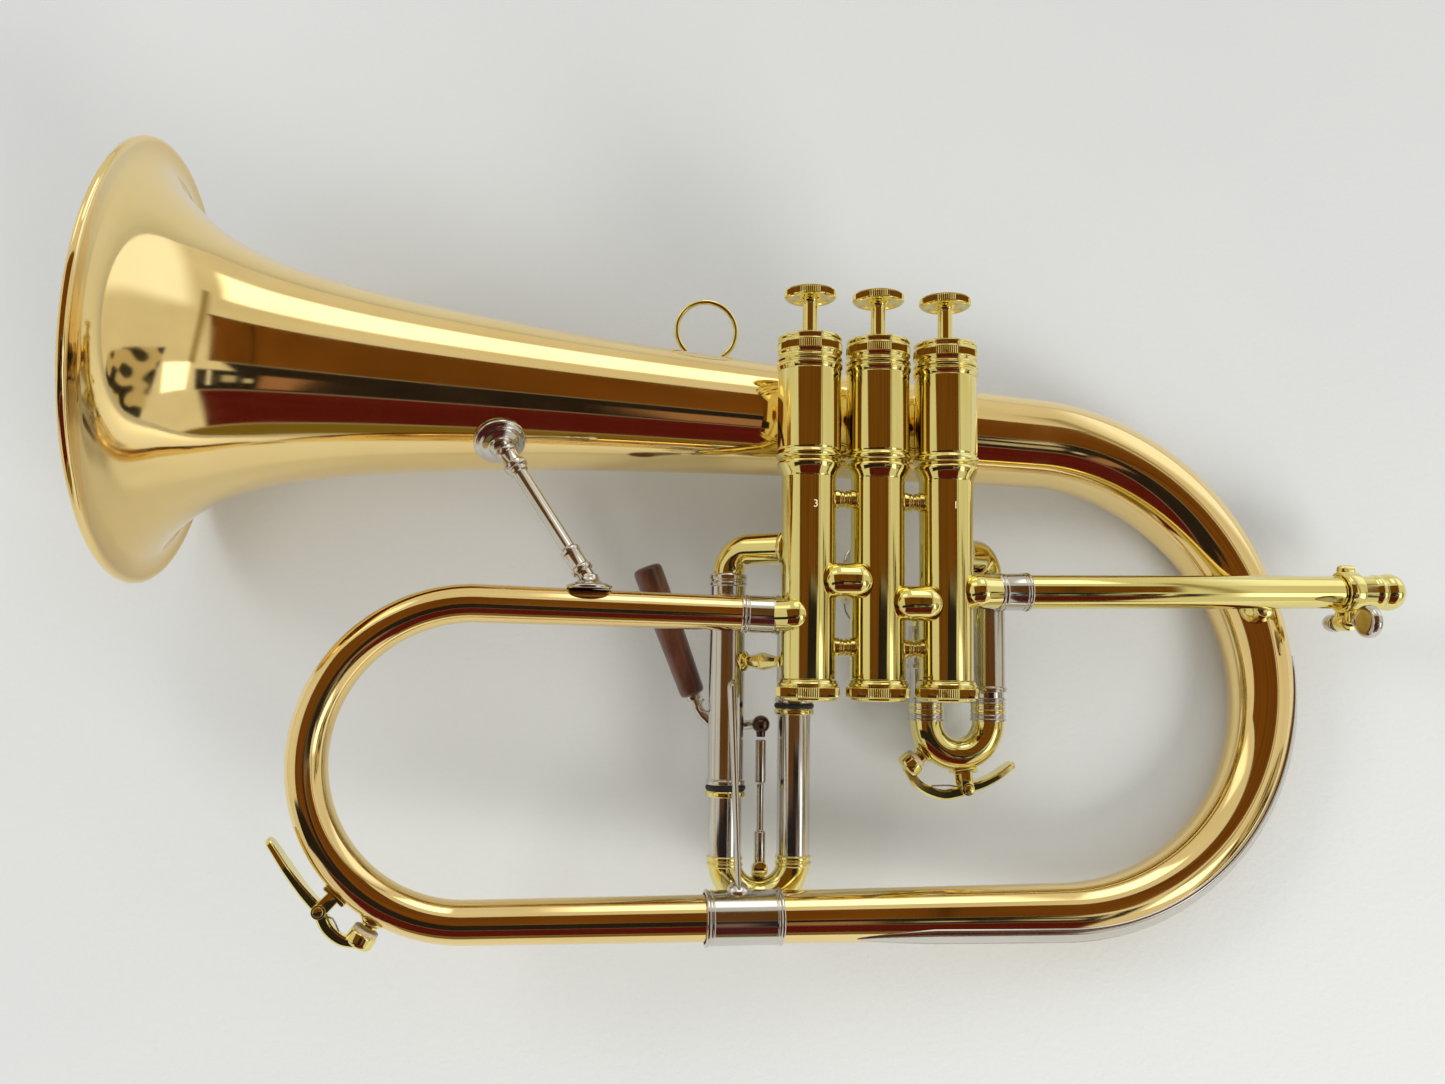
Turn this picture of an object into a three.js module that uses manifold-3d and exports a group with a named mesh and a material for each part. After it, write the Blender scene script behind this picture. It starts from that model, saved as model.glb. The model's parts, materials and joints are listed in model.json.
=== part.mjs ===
// A B-flat flugelhorn with three piston valves, a trigger on the third slide and two water keys.
// It lies on its right side, as it is put down on a table: Z is up from the table and the bell points to -X.
//
// Inside, the horn has its own axes: X runs from the bell to the mouthpiece, Y runs up the valves and Z
// points to the player's left. Their origin is on the axis of valve 2, level with the mouthpipe.
import * as THREE from "three";
import { mergeVertices } from "three/addons/utils/BufferGeometryUtils.js";
import { ConvexHull } from "three/addons/math/ConvexHull.js";
import Module from "manifold-3d";

const wasm = await Module();
wasm.setup();

// ---------------------------------------------------------------------------------------------
// Driving dimensions, in millimetres and degrees
// ---------------------------------------------------------------------------------------------
const GAP = 0.3; // between pieces that touch

const BELL_RADIUS = 76;
const BELL_WALL = 0.5;
const BELL_TILT = 10.65; // the bell's plane leans back from the valves' plane
const BELL_CLIMB = 2.75; // the bell rises towards its rim
const BELL_LENGTH = 320.9; // rim to back bow
const FLARE_LENGTH = 92; // rim to the joint between flare and stem
const BACK_BOW_RADIUS = 85.5;
const BACK_BOW_X = 65.4;
const TAIL_X = -57.2; // end of the bell's tail, inside the bell ferrule
const LOWER_Y = -110.3; // the lower branch, below the valves
const LOWER_Z = 0;

const FRONT_BOW_RADIUS = 50.65;
const FRONT_BOW_X = -135;
const BRANCH_CLIMB = 1.1; // the third valve's branch rises towards the valve

const VALVE_SPACING = 24.4;
const CASING_RADIUS = 9.35;
const CASING_WALL = 0.8;
const UPPER_CASING_RADIUS = 10.95;
const CASING_FOOT = -32.2;
const SHOULDER_Y = 36.9; // where the slim casing starts to widen
const BALUSTER_Y = 43.3;
const CASING_HEAD = 73;
const CAP_RADIUS = 11.15;
const TOP_CAP_HEIGHT = 12.4;
const BOTTOM_CAP_RADIUS = 10.8;
const BOTTOM_CAP_HEIGHT = 7;
const STEM_RADIUS = 2.6;
const VALVE_STROKE = 13;
const BUTTON_RADIUS = 9;
const BUTTON_HEIGHT = 3.6;
const BUTTON_CLEARANCE = 13.3; // cap to button at rest

const PORT_RADIUS = 5.2; // bore through the casings and the pistons
const LEADPIPE_RADIUS = 6;
const LEADPIPE_Y = -1.9;
const LEADPIPE_Z = 1.2;
const LEADPIPE_CLIMB = 1.24;
const LEADPIPE_START = 53;
const LEADPIPE_END = 172.4;
const MOUTHPIPE_END = 196.2;
const TUBE_WALL = 0.6;

const ELBOW_RADIUS = 5.5;
const SLEEVE_RADIUS = 6.2;
const SLIDE_RADIUS = 5.55;
const SLIDE_Z = -17.8; // the slides lie behind the casings
const ELBOW_Y = 12.2;
const ELBOW_BEND = 8.6;

const FIRST_SLIDE_SPREAD = 23.2;
const FIRST_SLEEVE_END = -36.5;
const FIRST_HIDDEN_SLEEVE_END = -28.5; // behind the casing, above its cap
const FIRST_CROOK_Y = -47.2;
const THIRD_SLIDE_SPREAD = 24;
const THIRD_LEFT_SLEEVE_END = -69.2;
const THIRD_RIGHT_SLEEVE_END = -41;
const THIRD_CROOK_Y = -95;
const SECOND_SLIDE_SPREAD = 15.6;
const SECOND_SLIDE_Y = 1.6;
const SECOND_SLEEVE_END = -23;
const SECOND_CROOK_Z = -25;

const TRIGGER_PIVOT = new THREE.Vector3(-48.2, -49.9, -28.4);
const TRIGGER_BALL = new THREE.Vector3(-36.8, -48.5, -18.6);
const HANDLE_TOP = new THREE.Vector3(-77, 6.3, -30);
const HANDLE_FOOT = new THREE.Vector3(-59.4, -38.9, -30);

const WIDE = 16; // sides of the valves and the bows
const ROUND = 12; // sides of a middling tube
const CROOK_STEP = 22.5; // degrees from one ring of a narrow bend to the next
const DEGREE = Math.PI / 180;

// ---------------------------------------------------------------------------------------------
// Materials, with the density that each piece weighs in at (grams per cubic millimetre)
// ---------------------------------------------------------------------------------------------
function material(color, roughness, metalness, density) {
  const made = new THREE.MeshStandardMaterial({ color, roughness, metalness });
  made.userData.density = density;
  return made;
}
const goldBrass = material(0xd9a860, 0.12, 1, 0.0086);
const yellowBrass = material(0xd8bd62, 0.14, 1, 0.0085);
const nickelSilver = material(0xcfcabb, 0.15, 1, 0.0087);
const springSteel = material(0x9a9a98, 0.3, 1, 0.0078);
const walnut = material(0x4a2414, 0.45, 0, 0.0007);

// ---------------------------------------------------------------------------------------------
// Solids
// ---------------------------------------------------------------------------------------------

// One closed geometry with shared vertices, no slivers of zero area, and its faces pointing out.
function closed(geometry) {
  const bare = geometry.clone();
  bare.deleteAttribute("normal");
  bare.deleteAttribute("uv");
  const merged = mergeVertices(bare, 1e-4);
  const p = merged.attributes.position;
  const corners = [0, 1, 2].map(() => new THREE.Vector3());
  const kept = [];
  let volume = 0;
  for (let i = 0; i < merged.index.count; i += 3) {
    const [a, b, c] = [0, 1, 2].map((k) => merged.index.getX(i + k));
    if (a === b || b === c || c === a) continue;
    corners[0].fromBufferAttribute(p, a);
    corners[1].fromBufferAttribute(p, b);
    corners[2].fromBufferAttribute(p, c);
    volume += corners[0].dot(corners[1].cross(corners[2]));
    kept.push(a, b, c);
  }
  if (volume < 0) kept.reverse();
  merged.setIndex(kept);
  return merged;
}

function toSolid(geometry) {
  const g = closed(geometry);
  return new wasm.Manifold(
    new wasm.Mesh({
      numProp: 3,
      vertProperties: g.attributes.position.array,
      triVerts: new Uint32Array(g.index.array),
    }),
  );
}

function fromSolid(solid) {
  const mesh = solid.getMesh();
  return new THREE.BufferGeometry()
    .setAttribute("position", new THREE.BufferAttribute(mesh.vertProperties, 3))
    .setIndex(new THREE.BufferAttribute(mesh.triVerts, 1));
}

const cut = (body, ...tools) =>
  fromSolid(tools.reduce((left, tool) => left.subtract(toSolid(tool)), toSolid(body)));

const join = (body, ...others) =>
  fromSolid(others.reduce((whole, other) => whole.add(toSolid(other)), toSolid(body)));

// A turned shape about +Y. The outline is [radius, height] pairs and closes on itself or on the axis.
function turned(outline, sides = ROUND) {
  const points = outline.map(([r, y]) => new THREE.Vector2(r, y));
  const onAxis = outline[0][0] === 0 && outline.at(-1)[0] === 0;
  if (!onAxis) points.push(points[0].clone());
  return new THREE.LatheGeometry(points, sides);
}

// A straight pipe about +Y whose outer radius follows its stations, [radius, height] pairs.
const sleeve = (stations, wall, sides = ROUND) =>
  turned([...stations, ...stations.map(([r, y]) => [r - wall, y]).reverse()], sides);

// The same with a plain bore.
const bushing = (stations, bore, sides = ROUND) =>
  turned([...stations, [bore, stations.at(-1)[1]], [bore, stations[0][1]]], sides);

// A plain rod or disc about +Y.
const rod = (radius, from, to, sides = ROUND) =>
  turned([[0, from], [radius, from], [radius, to], [0, to]], sides);

// Moves a shape made about +Y so that its height 0 lies at a point and +Y runs along a direction.
function aim(geometry, at, along) {
  const turn = new THREE.Quaternion().setFromUnitVectors(
    new THREE.Vector3(0, 1, 0),
    along.clone().normalize(),
  );
  return geometry.applyQuaternion(turn).translate(at.x, at.y, at.z);
}

const between = (a, b, radius, sides = ROUND) =>
  aim(rod(radius, 0, a.distanceTo(b), sides), a, b.clone().sub(a));

// A route of straights and arcs laid end to end. Every arc turns towards the side direction.
class Route extends THREE.Curve {
  constructor(start, heading, side, pieces) {
    super();
    this.total = 0;
    this.legs = [];
    let frame = { point: start, dir: heading.clone().normalize(), side: side.clone().normalize() };
    for (const piece of pieces) {
      const turn = (piece.turn ?? 0) * DEGREE;
      const length = piece.straight ?? piece.radius * turn;
      const leg = { ...frame, length, bend: turn / length, from: this.total };
      this.legs.push(leg);
      this.total += length;
      frame = this.walk(leg, length);
    }
  }

  walk({ point, dir, side, bend }, distance) {
    const angle = bend * distance;
    const forward = bend ? Math.sin(angle) / bend : distance;
    const sideways = bend ? (1 - Math.cos(angle)) / bend : 0;
    return {
      point: point.clone().addScaledVector(dir, forward).addScaledVector(side, sideways),
      dir: dir.clone().multiplyScalar(Math.cos(angle)).addScaledVector(side, Math.sin(angle)),
      side: side.clone().multiplyScalar(Math.cos(angle)).addScaledVector(dir, -Math.sin(angle)),
    };
  }

  frame(distance) {
    const leg = this.legs.findLast((each) => each.from <= distance) ?? this.legs[0];
    return this.walk(leg, distance - leg.from);
  }

  getPoint(t, target = new THREE.Vector3()) {
    return target.copy(this.frame(t * this.total).point);
  }

  // Distances from one place to another, close together in the arcs.
  steps(from, to, arcStep = 14) {
    const marks = [from, to];
    for (const leg of this.legs) {
      const turn = leg.bend * leg.length;
      const count = Math.max(1, Math.ceil(turn / (arcStep * DEGREE)));
      for (let i = 0; i <= count; i++) marks.push(leg.from + (leg.length * i) / count);
    }
    return [...new Set(marks)]
      .filter((mark) => mark >= from && mark <= to)
      .sort((a, b) => a - b)
      .filter((mark, i, all) => i === 0 || mark - all[i - 1] > 0.05);
  }
}

// Bends a shape made about +Y along a route: its height becomes the distance along the route.
function bendAlong(geometry, route) {
  const p = geometry.attributes.position;
  const across = new THREE.Vector3();
  for (let i = 0; i < p.count; i++) {
    const { point, dir, side } = route.frame(p.getY(i));
    across.crossVectors(side, dir);
    point.addScaledVector(side, p.getX(i)).addScaledVector(across, p.getZ(i));
    p.setXYZ(i, point.x, point.y, point.z);
  }
  return geometry;
}

// A bent pipe between two distances of a route, with its outer radius given as a number or a function.
function bentPipe(route, from, to, radius, wall, sides = ROUND, extra = [], arcStep = 14) {
  const radiusAt = typeof radius === "function" ? radius : () => radius;
  const marks = [...new Set([...route.steps(from, to, arcStep), ...extra])].sort((a, b) => a - b);
  return bendAlong(sleeve(marks.map((s) => [radiusAt(s), s]), wall, sides), route);
}

// A slide's bent tube over the whole of its route.
const slidePipe = (route, radius) =>
  bentPipe(route, 0, route.total, radius, TUBE_WALL, ROUND, [], CROOK_STEP);

// The same, but solid: what keeps its neighbours off a bent tube.
function bentBar(route, from, to, radius, sides = 36, extra = []) {
  const radiusAt = typeof radius === "function" ? radius : () => radius;
  const marks = [...new Set([...route.steps(from, to, 6), ...extra])].sort((a, b) => a - b);
  const outline = marks.map((s) => [radiusAt(s), s]);
  return bendAlong(turned([[0, marks[0]], ...outline, [0, marks.at(-1)]], sides), route);
}

// ---------------------------------------------------------------------------------------------
// The horn's routes
// ---------------------------------------------------------------------------------------------
const X = new THREE.Vector3(1, 0, 0);
const Y = new THREE.Vector3(0, 1, 0);
const Z = new THREE.Vector3(0, 0, 1);
const at = (x, y, z) => new THREE.Vector3(x, y, z);
const valveX = (number) => (2 - number) * VALVE_SPACING;

// From the tail of the bell, along the lower branch, round the back bow and out to the rim.
const bellUp = at(0, Math.cos(BELL_TILT * DEGREE), -Math.sin(BELL_TILT * DEGREE));
const bellRoute = new Route(at(TAIL_X, LOWER_Y, LOWER_Z), X, bellUp, [
  { straight: BACK_BOW_X - TAIL_X },
  { radius: BACK_BOW_RADIUS, turn: 180 - BELL_CLIMB },
  { straight: BELL_LENGTH },
]);

// Outer radius of the bell by distance from the rim, as the horn's taper gives it.
const BELL_PROFILE = [
  [0, BELL_RADIUS], [2, BELL_RADIUS * 0.934], [5, BELL_RADIUS * 0.855], [10, 58.5], [16.6, 52.5],
  [24, 47.1], [34, 42.3], [46, 38.2], [60, 35], [80, 31.7], [110, 28], [150, 24.5], [205, 21.2],
  [265, 18.6], [322, 16.9], [350, 16.2], [375, 15.4], [400, 14.2], [420, 13], [450, 11.8],
  [478, 11], [502, 10.4], [530, 10], [580, 9.5], [620, 9.1], [660, 8.3], [760, 7.9],
];
function bellRadius(distanceFromRim) {
  const i = Math.max(1, BELL_PROFILE.findIndex(([s]) => s >= distanceFromRim));
  const [s0, r0] = BELL_PROFILE[i - 1];
  const [s1, r1] = BELL_PROFILE[i];
  return THREE.MathUtils.mapLinear(distanceFromRim, s0, s1, r0, r1);
}
const fromRim = (distance) => bellRoute.total - distance;
const bellRadiusAt = (distance) => bellRadius(fromRim(distance));

// From the third valve's branch round the front bow to the lower branch.
const branchDir = at(-Math.cos(BRANCH_CLIMB * DEGREE), -Math.sin(BRANCH_CLIMB * DEGREE), 0);
const BOW_FERRULE_LENGTH = 25.6;
const frontBowEnd = at(TAIL_X - GAP, LOWER_Y, LOWER_Z);
const frontBowRoute = new Route(frontBowEnd, at(-1, 0, 0), Y, [
  { straight: frontBowEnd.x - FRONT_BOW_X },
  { radius: FRONT_BOW_RADIUS, turn: 180 + BRANCH_CLIMB },
  { straight: 89 },
]);
const branchEnd = frontBowRoute.frame(frontBowRoute.total);
const frontBowRadius = (s) => THREE.MathUtils.mapLinear(s, 0, frontBowRoute.total, 7.45, 5.85);

// ---------------------------------------------------------------------------------------------
// Bell, bows and their ferrules
// ---------------------------------------------------------------------------------------------
// The flare ends in a bead, its edge rolled over a wire.
const RIM_BEAD = [[0.964, 3], [0.989, 2.9], [1, 1.6], [0.992, 0.3], [0.972, 0.1]];

function bellFlare() {
  const marks = [...BELL_PROFILE.map(([s]) => s).filter((s) => s > 0 && s < FLARE_LENGTH), FLARE_LENGTH];
  const outer = marks.map((s) => [bellRadius(s), fromRim(s)]).reverse();
  const bead = RIM_BEAD.map(([share, s]) => [share * BELL_RADIUS, fromRim(s)]);
  const inner = marks.map((s) => [bellRadius(s) - BELL_WALL, fromRim(s)]);
  return bendAlong(turned([...outer, ...bead, ...inner], 2 * WIDE), bellRoute);
}

function backBow() {
  const end = fromRim(FLARE_LENGTH + GAP);
  const extra = BELL_PROFILE.map(([s]) => fromRim(s)).filter((s) => s > 0 && s < end);
  return bentPipe(bellRoute, 0, end, bellRadiusAt, BELL_WALL + 0.1, WIDE, extra, 20);
}

// A sleeve with a bead at each end over the joint of two tubes.
function beadedFerrule(radius, length, wall, bead = 0.5) {
  const ring = (y, sign) => [
    [radius, y], [radius + bead, y + sign * 0.7], [radius + bead, y + sign * 1.5],
    [radius, y + sign * 2.2],
  ];
  return bushing([...ring(0, 1), ...ring(length, -1).reverse()], radius - wall, WIDE);
}

// The third valve's branch and the front bow, one tube, with the spout of its water key.
function frontBow() {
  const tube = bentPipe(frontBowRoute, 0, frontBowRoute.total, frontBowRadius, TUBE_WALL, WIDE, [], 18);
  return cut(join(tube, bowKey.spout), bowKey.bore);
}

function bellFerrule() {
  const inner = Math.max(bellRadiusAt(0), frontBowRadius(0)) + GAP;
  const ring = beadedFerrule(inner + 0.5, BOW_FERRULE_LENGTH, 0.5);
  return aim(ring, at(TAIL_X - 1.2, LOWER_Y, LOWER_Z), X);
}

function outletFerrule() {
  const ring = beadedFerrule(frontBowRadius(frontBowRoute.total) + GAP + 0.45, 11.8, 0.45, 0.35);
  return aim(ring, branchEnd.point.clone().addScaledVector(branchEnd.dir, -1.2), branchEnd.dir);
}

// A strip of nickel silver that saves the outside of the bow from wear.
function bowGuard() {
  const from = 48.7;
  const to = 259.7;
  const count = 22;
  const halfWidth = 3.6;
  const lean = THREE.MathUtils.degToRad(32);
  const strip = new THREE.BoxGeometry(1, to - from, 1, 1, count, 1);
  strip.translate(0, (from + to) / 2, 0);
  const p = strip.attributes.position;
  for (let i = 0; i < p.count; i++) {
    const s = p.getY(i);
    const outer = p.getX(i) < 0 ? 0.9 : 0;
    const taper = Math.min(1, (s - from + 2) / 16, (to - s + 2) / 16);
    const out = bellRadiusAt(s) + GAP + outer;
    const sideways = Math.sign(p.getZ(i)) * halfWidth * taper;
    p.setX(i, -out * Math.cos(lean) + sideways * Math.sin(lean));
    p.setZ(i, -out * Math.sin(lean) - sideways * Math.cos(lean));
  }
  return bendAlong(strip, bellRoute);
}

// ---------------------------------------------------------------------------------------------
// Valves: each is made about its own axis, with Y = 0 level with the mouthpipe
// ---------------------------------------------------------------------------------------------

// A tool along a port: from the valve's axis outwards at a height, in a direction round the axis.
const portTool = (height, heading, radius = PORT_RADIUS) =>
  aim(rod(radius, 0, 30, 10), at(0, height, 0), heading);

function casing(ports) {
  const upper = UPPER_CASING_RADIUS;
  const bore = CASING_RADIUS - CASING_WALL;
  const body = turned(
    [
      [CASING_RADIUS, CASING_FOOT], [CASING_RADIUS, SHOULDER_Y], [upper - 0.4, BALUSTER_Y - 1.4],
      [upper + 0.5, BALUSTER_Y], [upper, BALUSTER_Y + 1.6], [upper, CASING_HEAD - GAP],
      [upper - 0.9, CASING_HEAD - GAP],
      [upper - 0.9, BALUSTER_Y], [bore, SHOULDER_Y], [bore, CASING_FOOT],
    ],
    WIDE,
  );
  return cut(body, ...ports.map(({ y, heading }) => portTool(y, heading)));
}

function topCap() {
  const top = CASING_HEAD + TOP_CAP_HEIGHT;
  const spigot = UPPER_CASING_RADIUS - 0.9 - GAP;
  const hole = STEM_RADIUS + 0.6;
  return turned(
    [
      [UPPER_CASING_RADIUS, CASING_HEAD], [UPPER_CASING_RADIUS + 0.3, CASING_HEAD + 1.9],
      [UPPER_CASING_RADIUS - 0.1, CASING_HEAD + 3.6], [CAP_RADIUS, CASING_HEAD + 5.4],
      [CAP_RADIUS, top - 1], [CAP_RADIUS - 1, top], [hole, top], [hole, top - 2],
      [spigot - 1, top - 2], [spigot - 1, CASING_HEAD - 4], [spigot, CASING_HEAD - 4],
      [spigot, CASING_HEAD],
    ],
    WIDE,
  );
}

function bottomCap() {
  const foot = CASING_FOOT - GAP - BOTTOM_CAP_HEIGHT;
  const spigot = CASING_RADIUS - CASING_WALL - GAP;
  const head = CASING_FOOT - GAP;
  return turned(
    [
      [CASING_RADIUS + 0.5, head], [BOTTOM_CAP_RADIUS, head - 2.2],
      [BOTTOM_CAP_RADIUS, foot + 1.4],
      [BOTTOM_CAP_RADIUS - 1.4, foot], [2.5, foot], [2.5, foot + 1.5], [spigot - 1, foot + 1.5],
      [spigot - 1, head + 3], [spigot, head + 3], [spigot, head],
    ],
    WIDE,
  );
}

const PISTON_RADIUS = CASING_RADIUS - CASING_WALL - GAP;
const PISTON_FOOT = CASING_FOOT + VALVE_STROKE + 4.2;
const SPRING_SEAT = SHOULDER_Y + 1;
const BUTTON_Y = CASING_HEAD + TOP_CAP_HEIGHT + BUTTON_CLEARANCE;

// A piston with its spring box and stem, and a straight passage for each way through it.
function piston(passages) {
  const box = SPRING_SEAT + 24;
  const body = turned(
    [
      [0, PISTON_FOOT + 4], [PISTON_RADIUS - 1, PISTON_FOOT + 4], [PISTON_RADIUS - 1, PISTON_FOOT],
      [PISTON_RADIUS, PISTON_FOOT], [PISTON_RADIUS, box], [PISTON_RADIUS - 0.8, box],
      [PISTON_RADIUS - 0.8, SPRING_SEAT], [STEM_RADIUS, SPRING_SEAT], [STEM_RADIUS, BUTTON_Y - GAP],
      [0, BUTTON_Y - GAP],
    ],
    14,
  );
  return cut(
    body,
    ...passages.map(({ y, heading }) => {
      const way = rod(PORT_RADIUS - 0.3, -20, 20, 8);
      return aim(way, at(0, y, 0), heading);
    }),
  );
}

// A finger button: a thin disc on a hub, dished above and hollow below.
function button() {
  const r = BUTTON_RADIUS;
  const top = BUTTON_HEIGHT;
  return turned(
    [
      [0, 0], [STEM_RADIUS + 0.9, 0], [STEM_RADIUS + 0.9, 1.5], [r - 2.6, 1.6], [r - 1, 0.5],
      [r, 1.1], [r, top - 0.8], [r - 0.8, top], [r - 2.2, top - 0.3], [0, top - 1],
    ],
    WIDE,
  );
}

class Helix extends THREE.Curve {
  constructor(radius, height, turns) {
    super();
    Object.assign(this, { radius, height, turns });
  }
  getPoint(t, target = new THREE.Vector3()) {
    const angle = 2 * Math.PI * this.turns * t;
    return target.set(this.radius * Math.cos(angle), this.height * t, this.radius * Math.sin(angle));
  }
}

// The return spring round the stem, from the piston up to the cap.
function valveSpring() {
  const wire = new THREE.Shape().absarc(0, 0, 0.45, 0, 2 * Math.PI);
  const from = SPRING_SEAT + 0.8;
  const height = CASING_HEAD + TOP_CAP_HEIGHT - 3 - from;
  const turns = 6;
  const coil = new Helix(STEM_RADIUS + 1.6, height, turns);
  return new THREE.ExtrudeGeometry(wire, {
    extrudePath: coil,
    steps: turns * 6,
    curveSegments: 2,
    bevelEnabled: false,
  }).translate(0, from, 0);
}

// ---------------------------------------------------------------------------------------------
// Ports: where each tube enters its casing
// ---------------------------------------------------------------------------------------------
const thirdLegs = [valveX(3) - 0.8 - THIRD_SLIDE_SPREAD, valveX(3) - 0.8];
const firstLegs = [valveX(1) - 1.5, valveX(1) - 1.5 + FIRST_SLIDE_SPREAD];
const legPortY = -7;
const towards = (number, x) => at(x - valveX(number), 0, SLIDE_Z).normalize();
const CROSSOVER_RADIUS = 5.9;
const CROSSOVERS = [
  { name: "crossover_1_2", right: 1, left: 2, y: -6.3 },
  { name: "crossover_2_3", right: 2, left: 3, y: 0.9 },
];
const crossoverHeading = (side) => at(side, 0, 0.95).normalize();
const slideTwoY = [SECOND_SLIDE_Y - SECOND_SLIDE_SPREAD / 2, SECOND_SLIDE_Y + SECOND_SLIDE_SPREAD / 2];

const PORTS = {
  1: [
    { y: LEADPIPE_Y, heading: X },
    { y: CROSSOVERS[0].y, heading: crossoverHeading(-1) },
    { y: ELBOW_Y, heading: towards(1, firstLegs[1]) },
    { y: legPortY, heading: towards(1, firstLegs[0]) },
  ],
  2: [
    { y: CROSSOVERS[0].y, heading: crossoverHeading(1) },
    { y: CROSSOVERS[1].y, heading: crossoverHeading(-1) },
    { y: slideTwoY[0], heading: at(0, 0, -1) },
    { y: slideTwoY[1], heading: at(0, 0, -1) },
  ],
  3: [
    { y: CROSSOVERS[1].y, heading: crossoverHeading(1) },
    { y: branchEnd.point.y + 0.4, heading: at(-1, 0, 0.25).normalize() },
    { y: ELBOW_Y, heading: towards(3, thirdLegs[0]) },
    { y: legPortY, heading: towards(3, thirdLegs[1]) },
  ],
};

// What keeps a tube off a casing: the casing's outside and the gap, as a solid tool.
const casingTool = (number) =>
  rod(CASING_RADIUS + GAP, CASING_FOOT, SHOULDER_Y, 48).translate(valveX(number), 0, 0);

// ---------------------------------------------------------------------------------------------
// Tubes of the valve section
// ---------------------------------------------------------------------------------------------

// The knuckle that carries the wind from one casing to the next, in front of both.
function crossover({ right, left, y }) {
  const depth = 6.2;
  const reach = 8;
  const middle = (valveX(right) + valveX(left)) / 2;
  const tube = new THREE.CapsuleGeometry(CROSSOVER_RADIUS, 2 * reach - 10.2, 4, ROUND);
  tube.rotateZ(Math.PI / 2).translate(middle, y, depth);
  const bore = rod(PORT_RADIUS - 0.6, -reach - 3, reach + 3, 10);
  bore.rotateZ(Math.PI / 2).translate(middle, y, depth - 1.6);
  return cut(tube, casingTool(right), casingTool(left), bore);
}

const leadDir = at(Math.cos(LEADPIPE_CLIMB * DEGREE), Math.sin(LEADPIPE_CLIMB * DEGREE), 0);
const leadPoint = (x) =>
  at(x, LEADPIPE_Y + (x - valveX(1)) * Math.tan(LEADPIPE_CLIMB * DEGREE), LEADPIPE_Z);

// A short tube out of a casing, saddled to its outside.
function knuckle(number, end, towardsCasing, radius, reach) {
  const start = end.clone();
  const tube = aim(sleeve([[radius, 0], [radius, reach]], TUBE_WALL), start, towardsCasing);
  return cut(tube, casingTool(number));
}

function leadpipeKnuckle() {
  const end = leadPoint(LEADPIPE_START - 8);
  return knuckle(1, end, leadDir.clone().negate(), LEADPIPE_RADIUS - 0.1, end.x - valveX(1));
}

function leadpipeFerrule() {
  const inner = LEADPIPE_RADIUS + GAP;
  return aim(beadedFerrule(inner + 0.45, 11.6, 0.45, 0.35), leadPoint(LEADPIPE_START - 11), leadDir);
}

function leadpipe() {
  const length = LEADPIPE_END - LEADPIPE_START + 7.4;
  const tube = sleeve([[LEADPIPE_RADIUS, 0], [LEADPIPE_RADIUS, length]], TUBE_WALL);
  return aim(tube, leadPoint(LEADPIPE_START - 7.4), leadDir);
}

// The sliding mouthpipe: a thin tube in the leadpipe, ending in the mouthpiece receiver.
function mouthpipe() {
  const tube = LEADPIPE_RADIUS - TUBE_WALL - GAP;
  const start = 75;
  const shoulder = LEADPIPE_END + 5.2 - start;
  const end = MOUTHPIPE_END - start;
  return aim(
    turned([
      [tube, 0], [tube, shoulder], [5.9, shoulder + 0.6], [5.9, shoulder + 3], [5.3, shoulder + 4.5],
      [5.2, end - 9.4], [6.1, end - 8.6], [6.1, end - 7.2], [5.8, end - 6.6], [6.7, end - 5], [6.7, end - 3.4],
      [5.8, end - 1.2], [5.2, end], [4.4, end], [3.7, end - 18], [4.2, end - 24], [tube - 0.5, 0],
    ]),
    leadPoint(start),
    leadDir,
  );
}

const CLAMP_X = 175.8;
const CLAMP_SCREW_Y = -9.6;

// A split collar round the end of the leadpipe, with two lugs that its screw pulls together.
function pitchClamp() {
  const centre = leadPoint(CLAMP_X);
  const bore = LEADPIPE_RADIUS + GAP;
  const half = 3.2;
  const ring = turned(
    [[0, -half], [bore + 0.8, -half], [bore + 1.5, -half + 0.8], [bore + 1.5, half - 0.8],
      [bore + 0.8, half], [0, half]],
    20,
  );
  const lugs = new THREE.BoxGeometry(2 * half, 7, 9).translate(centre.x, centre.y - 8.3, centre.z);
  const split = new THREE.BoxGeometry(3 * half, 12, 1.6).translate(centre.x, centre.y - 9, centre.z);
  return cut(
    join(aim(ring, centre, leadDir), lugs),
    aim(rod(bore, -6, 6, 20), centre, leadDir),
    split,
    aim(rod(1.9, -12, 12, 10), at(centre.x, CLAMP_SCREW_Y, centre.z), Z),
  );
}

function clampScrew() {
  const z = LEADPIPE_Z;
  const shank = rod(1.6, -11.2, 7, 12);
  const nut = turned([[0, -11.6], [2.2, -11.2], [3.3, -9.6], [3.3, -5.2], [0, -5.2]], 12);
  const collar = rod(2.6, 5.2, 7, 12);
  const paddle = rod(5.7, -2.1, 2.1, 16);
  paddle.rotateX(Math.PI / 2).rotateY(Math.PI / 2).scale(1, 1, 0.88);
  const made = join(
    aim(shank, at(0, 0, 0), Z),
    aim(nut, at(0, 0, 0), Z),
    aim(collar, at(0, 0, 0), Z),
    paddle.translate(0, 0, 10.8),
  );
  return made.translate(CLAMP_X, CLAMP_SCREW_Y, z);
}

// A low bridge that ties the leadpipe to the back bow.
function leadpipeBrace() {
  const foot = leadPoint(146);
  const bridge = rod(5.6, -13, -1, 16).scale(1, 1, 0.75);
  const arc = bellRoute.legs[1];
  const near = arc.from + arc.length * 0.6;
  const bow = bentBar(bellRoute, near - 30, near + 40, (s) => bellRadiusAt(s) + GAP);
  const pipe = aim(rod(LEADPIPE_RADIUS + GAP, -30, 30, 36), foot, leadDir);
  return cut(aim(bridge, at(foot.x, foot.y - 6.2, foot.z), Z), bow, pipe);
}

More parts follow.
